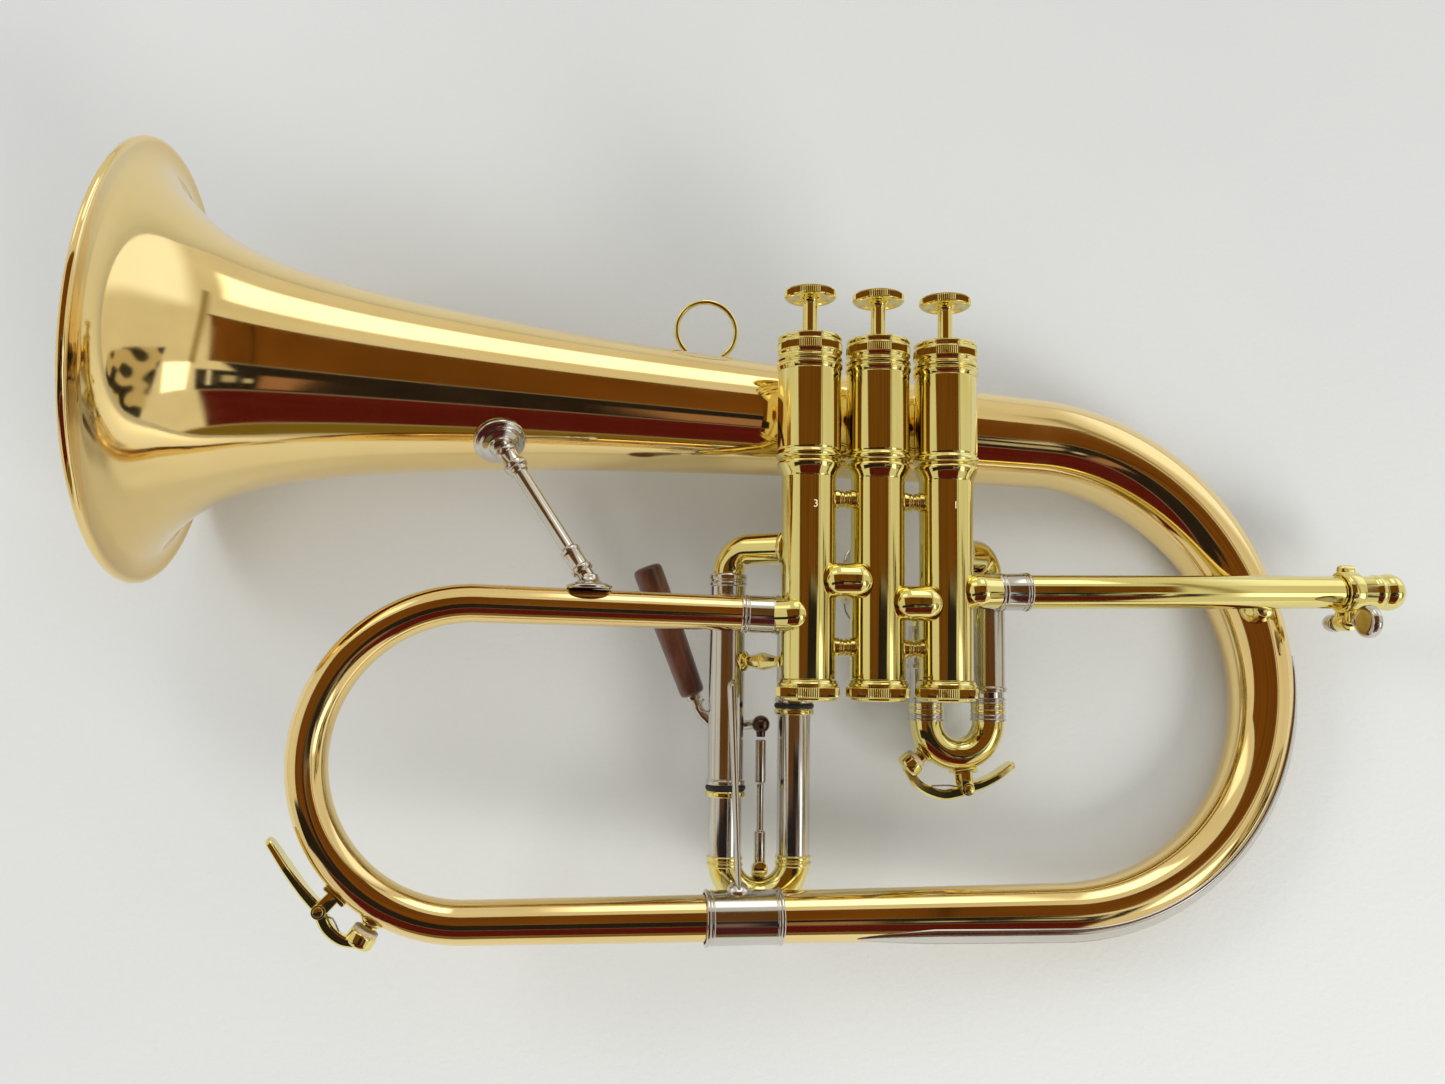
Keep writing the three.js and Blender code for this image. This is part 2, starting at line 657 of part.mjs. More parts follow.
// ---------------------------------------------------------------------------------------------
// Slides
// ---------------------------------------------------------------------------------------------

// An elbow out of a casing, running back to a slide's leg and turning down into it.
function portElbow(number, legX, y, bend, radius) {
  const heading = towards(number, legX);
  const start = at(valveX(number), y, 0);
  const leg = at(legX, y, SLIDE_Z);
  const route = new Route(start, heading, at(0, -1, 0), [
    { straight: start.distanceTo(leg) - bend },
    { radius: bend, turn: 90 },
  ]);
  return cut(slidePipe(route, radius), casingTool(number));
}

// A slide's outer tube, hanging down at a leg, with a ring round its mouth.
function legSleeve(x, top, foot, ring = 0.7) {
  const r = SLEEVE_RADIUS;
  const outline = [[r, foot], [r + ring, foot + 0.5], [r + ring, foot + 1.9], [r, foot + 2.4], [r, top]];
  return bushing(outline, SLIDE_RADIUS + GAP).translate(x, 0, SLIDE_Z);
}

// The moving slide: two inner legs and the crook that joins them, as one route.
function slideRoute(legs, topLeft, topRight, crookY) {
  const radius = (legs[1] - legs[0]) / 2;
  return new Route(at(legs[0], topLeft, SLIDE_Z), at(0, -1, 0), X, [
    { straight: topLeft - crookY },
    { radius, turn: 180 },
    { straight: topRight - crookY },
  ]);
}

const ELBOW_FOOT = ELBOW_Y - ELBOW_BEND;
const PORT_FOOT = legPortY - 6.6;

function firstSlide() {
  const route = slideRoute(firstLegs, -14.8, -8, FIRST_CROOK_Y);
  const pipe = slidePipe(route, SLIDE_RADIUS);
  return cut(join(pipe, slideKey.spout), slideKey.bore);
}

// The third slide, with the collars that its bumpers bear on and the stud of the trigger's link.
function thirdSlide() {
  const route = slideRoute(thirdLegs, -26, -18, THIRD_CROOK_Y);
  const pipe = slidePipe(route, SLIDE_RADIUS);
  const bore = SLIDE_RADIUS - TUBE_WALL / 2;
  const collar = (x, y) =>
    bushing([[SLIDE_RADIUS + 1.2, y - 2.6], [SLIDE_RADIUS + 1.2, y]], bore, ROUND).translate(x, 0, SLIDE_Z);
  return join(
    pipe,
    collar(thirdLegs[0], THIRD_LEFT_SLEEVE_END - GAP),
    collar(thirdLegs[1], THIRD_RIGHT_SLEEVE_END - GAP),
    linkStud(),
  );
}

// The second slide points to the player's right, behind its casing: two outer tubes tied together.
function secondSleeves() {
  const r = SLEEVE_RADIUS - 0.2;
  const bore = r - TUBE_WALL;
  const solid = (radius, y) => aim(rod(radius, -1, -SECOND_SLEEVE_END), at(0, y, 0), at(0, 0, -1));
  const tie = new THREE.BoxGeometry(2.4, SECOND_SLIDE_SPREAD, 7).translate(0, SECOND_SLIDE_Y, -17);
  return cut(
    join(solid(r, slideTwoY[0]), solid(r, slideTwoY[1]), tie),
    aim(rod(bore, -2, 40), at(0, slideTwoY[0], 0), at(0, 0, -1)),
    aim(rod(bore, -2, 40), at(0, slideTwoY[1], 0), at(0, 0, -1)),
    casingTool(2),
  );
}

function secondSlide() {
  const r = SLEEVE_RADIUS - 0.2 - TUBE_WALL - GAP;
  const start = at(0, slideTwoY[0], -13);
  const route = new Route(start, at(0, 0, -1), Y, [
    { straight: start.z - SECOND_CROOK_Z },
    { radius: SECOND_SLIDE_SPREAD / 2, turn: 180 },
    { straight: start.z - SECOND_CROOK_Z },
  ]);
  return slidePipe(route, r);
}

// ---------------------------------------------------------------------------------------------
// Braces and the finger ring
// ---------------------------------------------------------------------------------------------

// A spool between two neighbouring casings.
function casingSpacer(right, y) {
  const middle = valveX(right) - VALVE_SPACING / 2;
  const half = VALVE_SPACING / 2 - CASING_RADIUS + 1.2;
  const spool = turned([
    [0, -half], [2.9, -half], [2.9, -half + 2.4], [1.6, -half + 3.1], [1.6, half - 3.1],
    [2.9, half - 2.4], [2.9, half], [0, half],
  ]);
  spool.rotateZ(Math.PI / 2).translate(middle, y, 0);
  return cut(spool, casingTool(right), casingTool(right + 1));
}

// The bell's outside over a stretch given by distances from the rim.
function bellTool(near, far) {
  const stations = BELL_PROFILE.map(([s]) => fromRim(s)).filter((s) => s > fromRim(far) && s < fromRim(near));
  return bentBar(bellRoute, fromRim(far), fromRim(near), (s) => bellRadiusAt(s) + GAP, 40, stations);
}

function bellBrace() {
  const bellFoot = at(-128.5, 49, -17.5);
  const bowFoot = at(-98.5, -1.2, 1);
  const along = bowFoot.clone().sub(bellFoot).normalize();
  const length = bellFoot.distanceTo(bowFoot);
  const post = turned([
    [0, -3], [3.1, -3], [3.1, 7.6], [2, 8.2], [2, length - 9.4], [3, length - 8.8],
    [3, length + 2.4], [0, length + 2.4],
  ], 14);
  const foot = turned([[0, -3.6], [7.6, -3.6], [7.8, -2], [7, -0.6], [3.4, 1.2], [0, 1.2]], 20);
  const bowPlate = turned([[0, -2], [6.2, -2], [6.6, -0.4], [3.2, 1.6], [0, 1.6]], 16);
  const bellDown = at(0.2, -0.72, 0.68);
  const end = frontBowRoute.total;
  const bowTool = bentBar(frontBowRoute, end - 80, end, (s) => frontBowRadius(s) + GAP);
  return cut(
    join(
      aim(post, bellFoot, along),
      aim(foot, bellFoot.clone().addScaledVector(bellDown, 0.4), bellDown),
      aim(bowPlate, bowFoot, Y),
    ),
    bellTool(90, 160),
    bowTool,
  );
}

function fingerRing() {
  const centre = at(-56, 95.6, -35);
  const ring = new THREE.TorusGeometry(11, 1.05, 6, 24).translate(centre.x, centre.y, centre.z);
  const plate = rod(7, -2.4, 1, 20).scale(1.25, 1, 0.7);
  plate.translate(centre.x + 0.6, centre.y - 9.8, centre.z + 1.4);
  return cut(join(ring, plate), bellTool(160, 230));
}

// The stay from the third slide's left sleeve down to the bell ferrule.
function slideStay() {
  const top = at(-48.3, -37, SLIDE_Z + SLEEVE_RADIUS + 1.9);
  const foot = at(-47.4, LOWER_Y + 9, LOWER_Z + 1);
  const spoon = rod(2.4, -1.2, 12, 12).scale(1, 1, 0.62);
  const bar = between(top, foot, 1.7, 12);
  const disc = turned([[0, -2], [3.6, -2], [3.6, 1.2], [0, 1.2]], 16);
  const along = foot.clone().sub(top);
  const ferrule = rod(bellRadiusAt(0) + 2 * GAP + 0.5, -40, 40, 36).rotateZ(Math.PI / 2);
  const sleeveTool = rod(SLEEVE_RADIUS + GAP, -80, 20, 36).translate(thirdLegs[0], 0, SLIDE_Z);
  const ringTool = rod(SLEEVE_RADIUS + 1, -73, -66, 24).translate(thirdLegs[0], 0, SLIDE_Z);
  return cut(
    join(bar, aim(spoon, top, along), aim(disc, foot, at(0, 0.6, 0.8))),
    ferrule.translate(TAIL_X + 14, LOWER_Y, LOWER_Z),
    sleeveTool,
    ringTool,
  );
}

// The faceted post between the third slide's left sleeve and its casing.
function slideBrace() {
  const y = -26.6;
  const from = at(thirdLegs[0] + SLEEVE_RADIUS - 1, y, SLIDE_Z + 4);
  const to = at(valveX(3) - CASING_RADIUS + 1.5, y, -2.5);
  const length = from.distanceTo(to);
  const post = turned([
    [0, -1], [3.2, -1], [3.2, 0.8], [1.8, 1.8], [3, length / 2], [1.7, length - 1.6],
    [2.4, length - 0.8], [2.4, length + 1], [0, length + 1],
  ], 8);
  const sleeveTool = rod(SLEEVE_RADIUS + GAP, -60, 10, 36).translate(thirdLegs[0], 0, SLIDE_Z);
  return cut(aim(post, from, to.clone().sub(from)), sleeveTool, casingTool(3));
}

// ---------------------------------------------------------------------------------------------
// The third slide's trigger
// ---------------------------------------------------------------------------------------------
const PIN_RADIUS = 1.5;
const HUB_HALF = 2;
const LINK_FOOT = at(TRIGGER_BALL.x, THIRD_CROOK_Y - 2.9, TRIGGER_BALL.z);

function triggerBracket() {
  const back = SLIDE_Z - SLEEVE_RADIUS;
  const block = new THREE.BoxGeometry(6, 9, 5).translate(thirdLegs[0] + 0.5, TRIGGER_PIVOT.y, back);
  const pin = rod(PIN_RADIUS, back - 1, TRIGGER_PIVOT.z - HUB_HALF - 1.2, 14);
  const head = rod(2.6, TRIGGER_PIVOT.z - HUB_HALF - 1.4, TRIGGER_PIVOT.z - HUB_HALF - GAP, 14);
  const place = (g) => g.rotateX(Math.PI / 2).translate(TRIGGER_PIVOT.x, TRIGGER_PIVOT.y, 0);
  const sleeveTool = rod(SLEEVE_RADIUS + GAP, -70, 0, 36).translate(thirdLegs[0], 0, SLIDE_Z);
  const front = TRIGGER_PIVOT.z + HUB_HALF + GAP;
  const shave = new THREE.BoxGeometry(20, 20, 10).translate(TRIGGER_PIVOT.x, TRIGGER_PIVOT.y, front - 5);
  return join(cut(block, sleeveTool, shave), place(pin), place(head));
}

// The lever: a bent rod with a hub on the pivot and a ball at its short end.
function triggerLever() {
  const p = TRIGGER_PIVOT;
  const handleDir = HANDLE_FOOT.clone().sub(HANDLE_TOP).normalize();
  const start = HANDLE_FOOT.clone().addScaledVector(handleDir, -14);
  const wire = new THREE.Shape().absarc(0, 0, 1.7, 0, 2 * Math.PI);
  const path = (points, steps) =>
    new THREE.ExtrudeGeometry(wire, {
      extrudePath: new THREE.CatmullRomCurve3(points),
      steps,
      curveSegments: 4,
      bevelEnabled: false,
    });
  const long = path(
    [start, HANDLE_FOOT, at(-57, -44, p.z - 1.2), at(-53.4, -48.2, p.z), at(p.x - 1.8, p.y, p.z)],
    10,
  );
  const short = path(
    [at(p.x + 1.8, p.y, p.z), at(-42, -49.4, p.z + 0.8), at(-37.6, -48.7, p.z + 4.6), TRIGGER_BALL],
    6,
  );
  const ball = new THREE.SphereGeometry(3.1, 10, 6);
  ball.translate(TRIGGER_BALL.x, TRIGGER_BALL.y, TRIGGER_BALL.z);
  const hub = aim(rod(3.3, -HUB_HALF, HUB_HALF, 16), p, Z);
  const hole = aim(rod(PIN_RADIUS + GAP, -6, 6, 16), p, Z);
  return cut(join(long, short, ball, hub), hole);
}

function triggerHandle() {
  const length = HANDLE_TOP.distanceTo(HANDLE_FOOT);
  const outline = [[0, 0], [4.9, 0], [5.3, 0.5], [5.25, 3], [4.5, length - 0.6], [4.1, length]];
  const hole = [[2, length], [2, length - 15], [0, length - 15]];
  return aim(turned([...outline, ...hole]), HANDLE_TOP, HANDLE_FOOT.clone().sub(HANDLE_TOP));
}

// The link from the lever's ball to the crook: a sleeve at each end and a rod between.
function triggerLink() {
  const top = TRIGGER_BALL.y - 3.1 - 1.4;
  const foot = LINK_FOOT.y;
  const link = turned([
    [0, foot - 1.5], [2.1, foot - 1.5], [2.1, foot + 12.5], [1.4, foot + 13], [1.4, top - 9.5],
    [1.9, top - 9], [1.9, top], [0, top],
  ], 12).translate(TRIGGER_BALL.x, 0, TRIGGER_BALL.z);
  const eye = rod(2.7, -1.4, 1.4, 16).rotateX(Math.PI / 2).translate(LINK_FOOT.x, foot, LINK_FOOT.z);
  const hole = rod(1 + GAP, -6, 6, 14).rotateX(Math.PI / 2).translate(LINK_FOOT.x, foot, LINK_FOOT.z);
  const slot = new THREE.BoxGeometry(8, 7, 8).translate(LINK_FOOT.x, foot - 0.6, LINK_FOOT.z - 5.4);
  const slotFront = slot.clone().translate(0, 0, 10.8);
  return cut(join(link, eye), hole, slot, slotFront);
}

// The stud on the crook that the link's lower eye turns on.
function linkStud() {
  const { x, y, z } = LINK_FOOT;
  const back = z - 1.4 - GAP;
  const plate = new THREE.BoxGeometry(5, 7.4, 1.6).translate(x, y - 2, back - 0.8);
  const pin = aim(rod(1, back - 0.5, z + 2.2, 12), at(x, y, 0), Z);
  const head = aim(rod(1.9, z + 1.4 + GAP, z + 2.4, 12), at(x, y, 0), Z);
  const slide = slideRoute(thirdLegs, -26, -18, THIRD_CROOK_Y);
  const arc = slide.legs[1];
  const bore = bentBar(slide, arc.from, arc.from + arc.length, SLIDE_RADIUS - TUBE_WALL / 2, 24);
  return cut(join(plate, pin, head), bore);
}

// ---------------------------------------------------------------------------------------------
// Water keys
// ---------------------------------------------------------------------------------------------

// A water key by its places round a bow: angles about the bow's centre, heights over its tube.
function waterKey({ centre, bowRadius, tubeRadius, nipple, pivot, tip }) {
  const surface = bowRadius + tubeRadius;
  const place = (angle, height) =>
    at(
      centre.x + (surface + height) * Math.cos(angle * DEGREE),
      centre.y + (surface + height) * Math.sin(angle * DEGREE),
      centre.z,
    );
  const out = (angle) => at(Math.cos(angle * DEGREE), Math.sin(angle * DEGREE), 0);
  const middle = (a, b, share) => a + (b - a) * share;
  const pivotPoint = place(pivot, 6.4);
  const tubeTool = new THREE.TorusGeometry(bowRadius, tubeRadius + GAP, 20, 72);
  tubeTool.translate(centre.x, centre.y, centre.z);

  const spine = [
    place(nipple, 6.8), place(middle(nipple, pivot, 0.5), 10.5 - 0.06 * Math.abs(nipple - pivot)),
    pivotPoint, place(middle(pivot, tip, 0.5), 7.4), place(tip, 7),
  ];
  const line = new THREE.CatmullRomCurve3(spine).getSpacedPoints(12);
  const edge = (side) =>
    line.map((point, i) => {
      const next = line[Math.min(i + 1, line.length - 1)];
      const before = line[Math.max(i - 1, 0)];
      const normal = at(-(next.y - before.y), next.x - before.x, 0).normalize();
      return point.clone().addScaledVector(normal, side * (i > 10 ? 0.7 : 0.95));
    });
  const outline = [...edge(1), ...edge(-1).reverse()].map((q) => new THREE.Vector2(q.x, q.y));
  const bar = new THREE.ExtrudeGeometry(new THREE.Shape(outline), { depth: 4, bevelEnabled: false });
  bar.translate(0, 0, centre.z - 2);
  const cup = aim(rod(3.7, 3.4, 7.2, 16), place(nipple, 0), out(nipple));
  const boss = aim(rod(2.3, -2, 2, 14), pivotPoint, Z);
  const hole = aim(rod(1 + GAP, -6, 6, 14), pivotPoint, Z);
  const lever = cut(join(bar, cup, boss), hole);

  const spoutAt = place(nipple, 0);
  const spout = aim(turned([[0, -0.4], [2.6, -0.4], [2.1, 3.1], [0, 3.1]], 14), spoutAt, out(nipple));
  const bore = aim(rod(1.3, -3, 4, 10), spoutAt, out(nipple));
  const ear = (z) =>
    aim(new THREE.BoxGeometry(4.2, 9.4, 0.9), place(pivot, 3), out(pivot)).translate(0, 0, z);
  const foot = aim(new THREE.BoxGeometry(9, 3, 7.2), place(pivot, 0.4), out(pivot));
  const pin = aim(rod(1, -3.6, 3.6, 14), pivotPoint, Z);
  const saddle = cut(join(foot, ear(3.1), ear(-3.1), pin), tubeTool);
  return { lever, saddle, spout, bore };
}

const bowKey = waterKey({
  centre: at(FRONT_BOW_X, LOWER_Y + FRONT_BOW_RADIUS, LOWER_Z),
  bowRadius: FRONT_BOW_RADIUS,
  tubeRadius: frontBowRadius(frontBowRoute.legs[1].from + 40),
  nipple: 240,
  pivot: 226,
  tip: 203,
});
const slideKey = waterKey({
  centre: at((firstLegs[0] + firstLegs[1]) / 2, FIRST_CROOK_Y, SLIDE_Z),
  bowRadius: FIRST_SLIDE_SPREAD / 2,
  tubeRadius: SLIDE_RADIUS,
  nipple: 221,
  pivot: 277,
  tip: 322,
});

// ---------------------------------------------------------------------------------------------
// Assembly
// ---------------------------------------------------------------------------------------------
const horn = new THREE.Group();

function add(name, geometry, finish, parent = horn) {
  const mesh = new THREE.Mesh(closed(geometry), finish);
  mesh.name = name;
  parent.add(mesh);
  return mesh;
}

add("bell_flare", bellFlare(), goldBrass);
add("bell_back_bow", backBow(), goldBrass);
add("bell_ferrule", bellFerrule(), nickelSilver);
add("front_bow", frontBow(), goldBrass);
add("outlet_ferrule", outletFerrule(), nickelSilver);
add(
  "outlet_knuckle",
  knuckle(
    3,
    branchEnd.point.clone().addScaledVector(branchEnd.dir, GAP),
    branchEnd.dir,
    frontBowRadius(frontBowRoute.total) - 0.05,
    22,
  ),
  yellowBrass,
);
add("bow_guard", bowGuard(), nickelSilver);
add("finger_ring", fingerRing(), yellowBrass);
add("bell_brace", bellBrace(), nickelSilver);

add("leadpipe", leadpipe(), yellowBrass);
add("leadpipe_knuckle", leadpipeKnuckle(), yellowBrass);
add("leadpipe_ferrule", leadpipeFerrule(), nickelSilver);
add("leadpipe_brace", leadpipeBrace(), yellowBrass);
add("mouthpipe", mouthpipe(), yellowBrass);
add("pitch_clamp", pitchClamp(), yellowBrass);
add("clamp_screw", clampScrew(), nickelSilver);

for (const number of [1, 2, 3]) {
  const valve = new THREE.Group();
  valve.position.x = valveX(number);
  const ports = PORTS[number];
  const passages = [
    { y: 4, heading: at(1, 0, 0.4) },
    { y: 16.5, heading: at(1, 0, -0.8) },
    { y: 29, heading: at(-1, 0, -0.6) },
  ];
  add(`valve_${number}_casing`, casing(ports), yellowBrass, valve);
  add(`valve_${number}_top_cap`, topCap(), yellowBrass, valve);
  add(`valve_${number}_bottom_cap`, bottomCap(), yellowBrass, valve);
  add(`valve_${number}_piston`, piston(passages), nickelSilver, valve);
  add(`valve_${number}_button`, button(), yellowBrass, valve).position.y = BUTTON_Y;
  add(`valve_${number}_spring`, valveSpring(), springSteel, valve);
  horn.add(valve);
}
for (const each of CROSSOVERS) add(each.name, crossover(each), yellowBrass);
add("casing_spacer_1", casingSpacer(1, 28.9), yellowBrass);
add("casing_spacer_2", casingSpacer(2, 29.1), yellowBrass);

add("first_slide_elbow", portElbow(1, firstLegs[1], ELBOW_Y, ELBOW_BEND, ELBOW_RADIUS), yellowBrass);
add("first_slide_port", portElbow(1, firstLegs[0], legPortY, 6.6, ELBOW_RADIUS), yellowBrass);
add("first_slide_right_sleeve", legSleeve(firstLegs[1], ELBOW_FOOT - GAP, FIRST_SLEEVE_END), nickelSilver);
add("first_slide_left_sleeve", legSleeve(firstLegs[0], PORT_FOOT - GAP, FIRST_HIDDEN_SLEEVE_END), nickelSilver);
add("first_slide", firstSlide(), yellowBrass);

add("second_slide_sleeves", secondSleeves(), nickelSilver);
add("second_slide", secondSlide(), yellowBrass);

add("third_slide_elbow", portElbow(3, thirdLegs[0], ELBOW_Y, ELBOW_BEND, ELBOW_RADIUS), yellowBrass);
add("third_slide_port", portElbow(3, thirdLegs[1], legPortY, 6.6, ELBOW_RADIUS), yellowBrass);
add("third_slide_left_sleeve", legSleeve(thirdLegs[0], ELBOW_FOOT - GAP, THIRD_LEFT_SLEEVE_END), nickelSilver);
add("third_slide_right_sleeve", legSleeve(thirdLegs[1], PORT_FOOT - GAP, THIRD_RIGHT_SLEEVE_END), nickelSilver);
add("third_slide", thirdSlide(), nickelSilver);
add("third_slide_brace", slideBrace(), yellowBrass);
add("slide_stay", slideStay(), nickelSilver);

add("trigger_bracket", triggerBracket(), nickelSilver);
add("trigger_lever", triggerLever(), nickelSilver);
add("trigger_handle", triggerHandle(), walnut);
add("trigger_link", triggerLink(), nickelSilver);

add("bow_water_key", bowKey.lever, yellowBrass);
add("bow_water_key_saddle", bowKey.saddle, yellowBrass);
add("slide_water_key", slideKey.lever, yellowBrass);
add("slide_water_key_saddle", slideKey.saddle, yellowBrass);

// ---------------------------------------------------------------------------------------------
// Standing: the horn is laid on the facet of its own hull that its weight falls on
// ---------------------------------------------------------------------------------------------
function settle(group) {
  group.updateMatrixWorld(true);
  const points = [];
  const centre = new THREE.Vector3();
  let weight = 0;
  group.traverse((mesh) => {
    if (!mesh.isMesh) return;
    const g = mesh.geometry.clone().applyMatrix4(mesh.matrixWorld);
    const p = g.attributes.position;
    const corner = (i) => at(p.getX(i), p.getY(i), p.getZ(i));
    for (let i = 0; i < p.count; i++) points.push(corner(i));
    for (let i = 0; i < g.index.count; i += 3) {
      const [a, b, c] = [0, 1, 2].map((k) => corner(g.index.getX(i + k)));
      const share = (a.dot(b.clone().cross(c)) / 6) * mesh.material.userData.density;
      centre.addScaledVector(a.add(b).add(c), share / 4);
      weight += share;
    }
  });
  centre.divideScalar(weight);
  const hull = new ConvexHull().setFromPoints(points);
  const down = at(0, 0, -1);
  const floor = hull.faces
    .filter((face) => face.normal.dot(down) > 0.6)
    .find((face) => {
      const ray = new THREE.Ray(centre, face.normal);
      const [a, b, c] = [face.edge, face.edge.next, face.edge.prev].map((e) => e.head().point);
      return ray.intersectTriangle(a, b, c, false, at(0, 0, 0));
    });
  const up = floor.normal.clone().negate();
  const along = X.clone().addScaledVector(up, -X.dot(up)).normalize();
  const across = up.clone().cross(along);
  const toTable = new THREE.Matrix4().makeBasis(along, across, up).transpose();
  const box = new THREE.Box3();
  for (const point of points) box.expandByPoint(point.clone().applyMatrix4(toTable));
  const middle = box.getCenter(at(0, 0, 0));
  group.applyMatrix4(toTable);
  group.position.add(at(-middle.x, -middle.y, -box.min.z));
}

settle(horn);
const flugelhorn = new THREE.Group();
flugelhorn.add(horn);

export default flugelhorn;
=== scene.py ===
"""The looks of a flugelhorn lying on its right side, built round its CAD frame.

Shapes are made in the horn's own axes in millimetres: X from the bell to the mouthpiece, Y up the
valves, Z to the player's left, with the origin on the middle valve's axis. HORN takes them to the
frame's metres.
"""
import json
import math

import bmesh
import bpy
import numpy as np
from mathutils import Matrix, Vector

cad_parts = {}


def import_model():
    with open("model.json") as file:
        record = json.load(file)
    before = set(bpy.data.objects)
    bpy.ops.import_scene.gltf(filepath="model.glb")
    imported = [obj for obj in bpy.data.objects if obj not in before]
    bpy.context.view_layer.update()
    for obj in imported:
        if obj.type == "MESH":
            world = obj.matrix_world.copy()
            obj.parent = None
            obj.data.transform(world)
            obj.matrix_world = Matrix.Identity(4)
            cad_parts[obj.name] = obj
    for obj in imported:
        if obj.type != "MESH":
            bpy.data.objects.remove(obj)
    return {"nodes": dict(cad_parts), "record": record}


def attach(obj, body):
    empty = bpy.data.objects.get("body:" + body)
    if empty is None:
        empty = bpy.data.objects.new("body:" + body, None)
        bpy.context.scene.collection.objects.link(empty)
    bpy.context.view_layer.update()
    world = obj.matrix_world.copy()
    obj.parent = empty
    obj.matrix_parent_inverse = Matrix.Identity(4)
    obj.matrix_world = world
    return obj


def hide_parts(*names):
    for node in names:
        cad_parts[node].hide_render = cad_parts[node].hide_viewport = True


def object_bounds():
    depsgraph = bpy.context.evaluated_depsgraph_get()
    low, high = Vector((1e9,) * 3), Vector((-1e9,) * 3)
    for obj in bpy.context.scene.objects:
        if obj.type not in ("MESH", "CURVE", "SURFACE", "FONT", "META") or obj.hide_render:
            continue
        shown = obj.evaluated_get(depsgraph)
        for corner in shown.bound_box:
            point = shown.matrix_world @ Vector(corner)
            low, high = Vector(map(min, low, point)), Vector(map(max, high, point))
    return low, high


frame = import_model()
cad_box = [list(corner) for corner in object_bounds()]

# --------------------------------------------------------------------------------------------
# The horn's axes, from the record's joints
# --------------------------------------------------------------------------------------------
JOINTS = {j["name"]: j for j in frame["record"]["behaviour"]["joints"]}
TRIGGER_PIVOT = Vector((-48.2, -49.9, -28.4))
axis_z = Vector(JOINTS["trigger_swing"]["axis"]).normalized()
axis_y = -Vector(JOINTS["valve_1_press"]["axis"]).normalized()
axis_x = axis_y.cross(axis_z).normalized()
TURN = Matrix((axis_x, axis_y, axis_z)).transposed()
MM = 0.001
ORIGIN = Vector(JOINTS["trigger_swing"]["pos_m"]) - TURN @ (TRIGGER_PIVOT * MM)
HORN = Matrix.Translation(ORIGIN) @ TURN.to_4x4() @ Matrix.Scale(MM, 4)

X, Y, Z = Vector((1, 0, 0)), Vector((0, 1, 0)), Vector((0, 0, 1))
V = Vector

# --------------------------------------------------------------------------------------------
# Dimensions, as in the CAD
# --------------------------------------------------------------------------------------------
BELL_RADIUS = 76.0
BELL_WALL = 0.5
BELL_TILT = math.radians(10.65)
BELL_CLIMB = 2.75
BELL_LENGTH = 320.9
BACK_BOW_RADIUS = 85.5
BACK_BOW_X = 65.4
TAIL_X = -57.2
LOWER_Y = -110.3
FRONT_BOW_RADIUS = 50.65
FRONT_BOW_X = -135.0
BRANCH_CLIMB = 1.1
SPACING = 24.4
CASING = 9.35
UPPER_CASING = 10.95
CASING_FOOT = -32.2
SHOULDER_Y = 36.9
BALUSTER_Y = 43.3
CASING_HEAD = 73.0
CAP = 11.15
CAP_TOP = CASING_HEAD + 12.4
BOTTOM_CAP = 10.8
BOTTOM_CAP_FOOT = CASING_FOOT - 0.3 - 7
BUTTON_Y = CAP_TOP + 13.3
STEM = 2.6
LEAD_Y = -1.9
LEAD_Z = 1.2
LEAD_CLIMB = math.radians(1.24)
ELBOW = 5.5
SLEEVE = 6.2
SLIDE = 5.75
SLIDE_Z = -17.8
ELBOW_Y = 12.2
PORT_Y = -7.0
CROOK_1_Y = -47.2
CROOK_3_Y = -95.0


def valve_x(number):
    return (2 - number) * SPACING


FIRST_LEGS = (valve_x(1) - 1.5, valve_x(1) - 1.5 + 23.2)
THIRD_LEGS = (valve_x(3) - 0.8 - 24.0, valve_x(3) - 0.8)


# --------------------------------------------------------------------------------------------
# Materials
# --------------------------------------------------------------------------------------------
class Nodes:
    """A small helper round a material's node tree."""

    def __init__(self, name):
        self.mat = bpy.data.materials.new(name)
        self.mat.use_nodes = True
        self.tree = self.mat.node_tree
        self.shader = self.tree.nodes["Principled BSDF"]
        self.coord = self.add("ShaderNodeTexCoord").outputs["Object"]

    def add(self, kind, **inputs):
        node = self.tree.nodes.new(kind)
        for key, value in inputs.items():
            socket = node.inputs[key.replace("_", " ")]
            if isinstance(value, bpy.types.NodeSocket):
                self.tree.links.new(value, socket)
            else:
                socket.default_value = value
        return node

    def link(self, source, socket):
        self.tree.links.new(source, self.shader.inputs[socket])

    def noise(self, scale, detail=3.0, stretch=None, rough=0.5):
        vector = self.coord
        if stretch:
            scaled = self.add("ShaderNodeMapping", Vector=vector)
            scaled.inputs["Scale"].default_value = stretch
            vector = scaled.outputs["Vector"]
        return self.add(
            "ShaderNodeTexNoise", Vector=vector, Scale=scale, Detail=detail, Roughness=rough
        ).outputs["Fac"]

    def ramp(self, fac, stops):
        node = self.add("ShaderNodeValToRGB", Fac=fac)
        elements = node.color_ramp.elements
        while len(elements) < len(stops):
            elements.new(0.5)
        for element, (place, colour) in zip(elements, stops):
            element.position = place
            element.color = colour if len(colour) == 4 else (*colour, 1)
        return node.outputs["Color"]

    def span(self, fac, low, high, from_low=0.3, from_high=0.7):
        node = self.add("ShaderNodeMapRange", Value=fac)
        node.inputs["From Min"].default_value = from_low
        node.inputs["From Max"].default_value = from_high
        node.inputs["To Min"].default_value = low
        node.inputs["To Max"].default_value = high
        return node.outputs["Result"]

    def bump(self, height, strength, distance):
        node = self.add("ShaderNodeBump", Height=height, Strength=strength, Distance=distance)
        self.link(node.outputs["Normal"], "Normal")


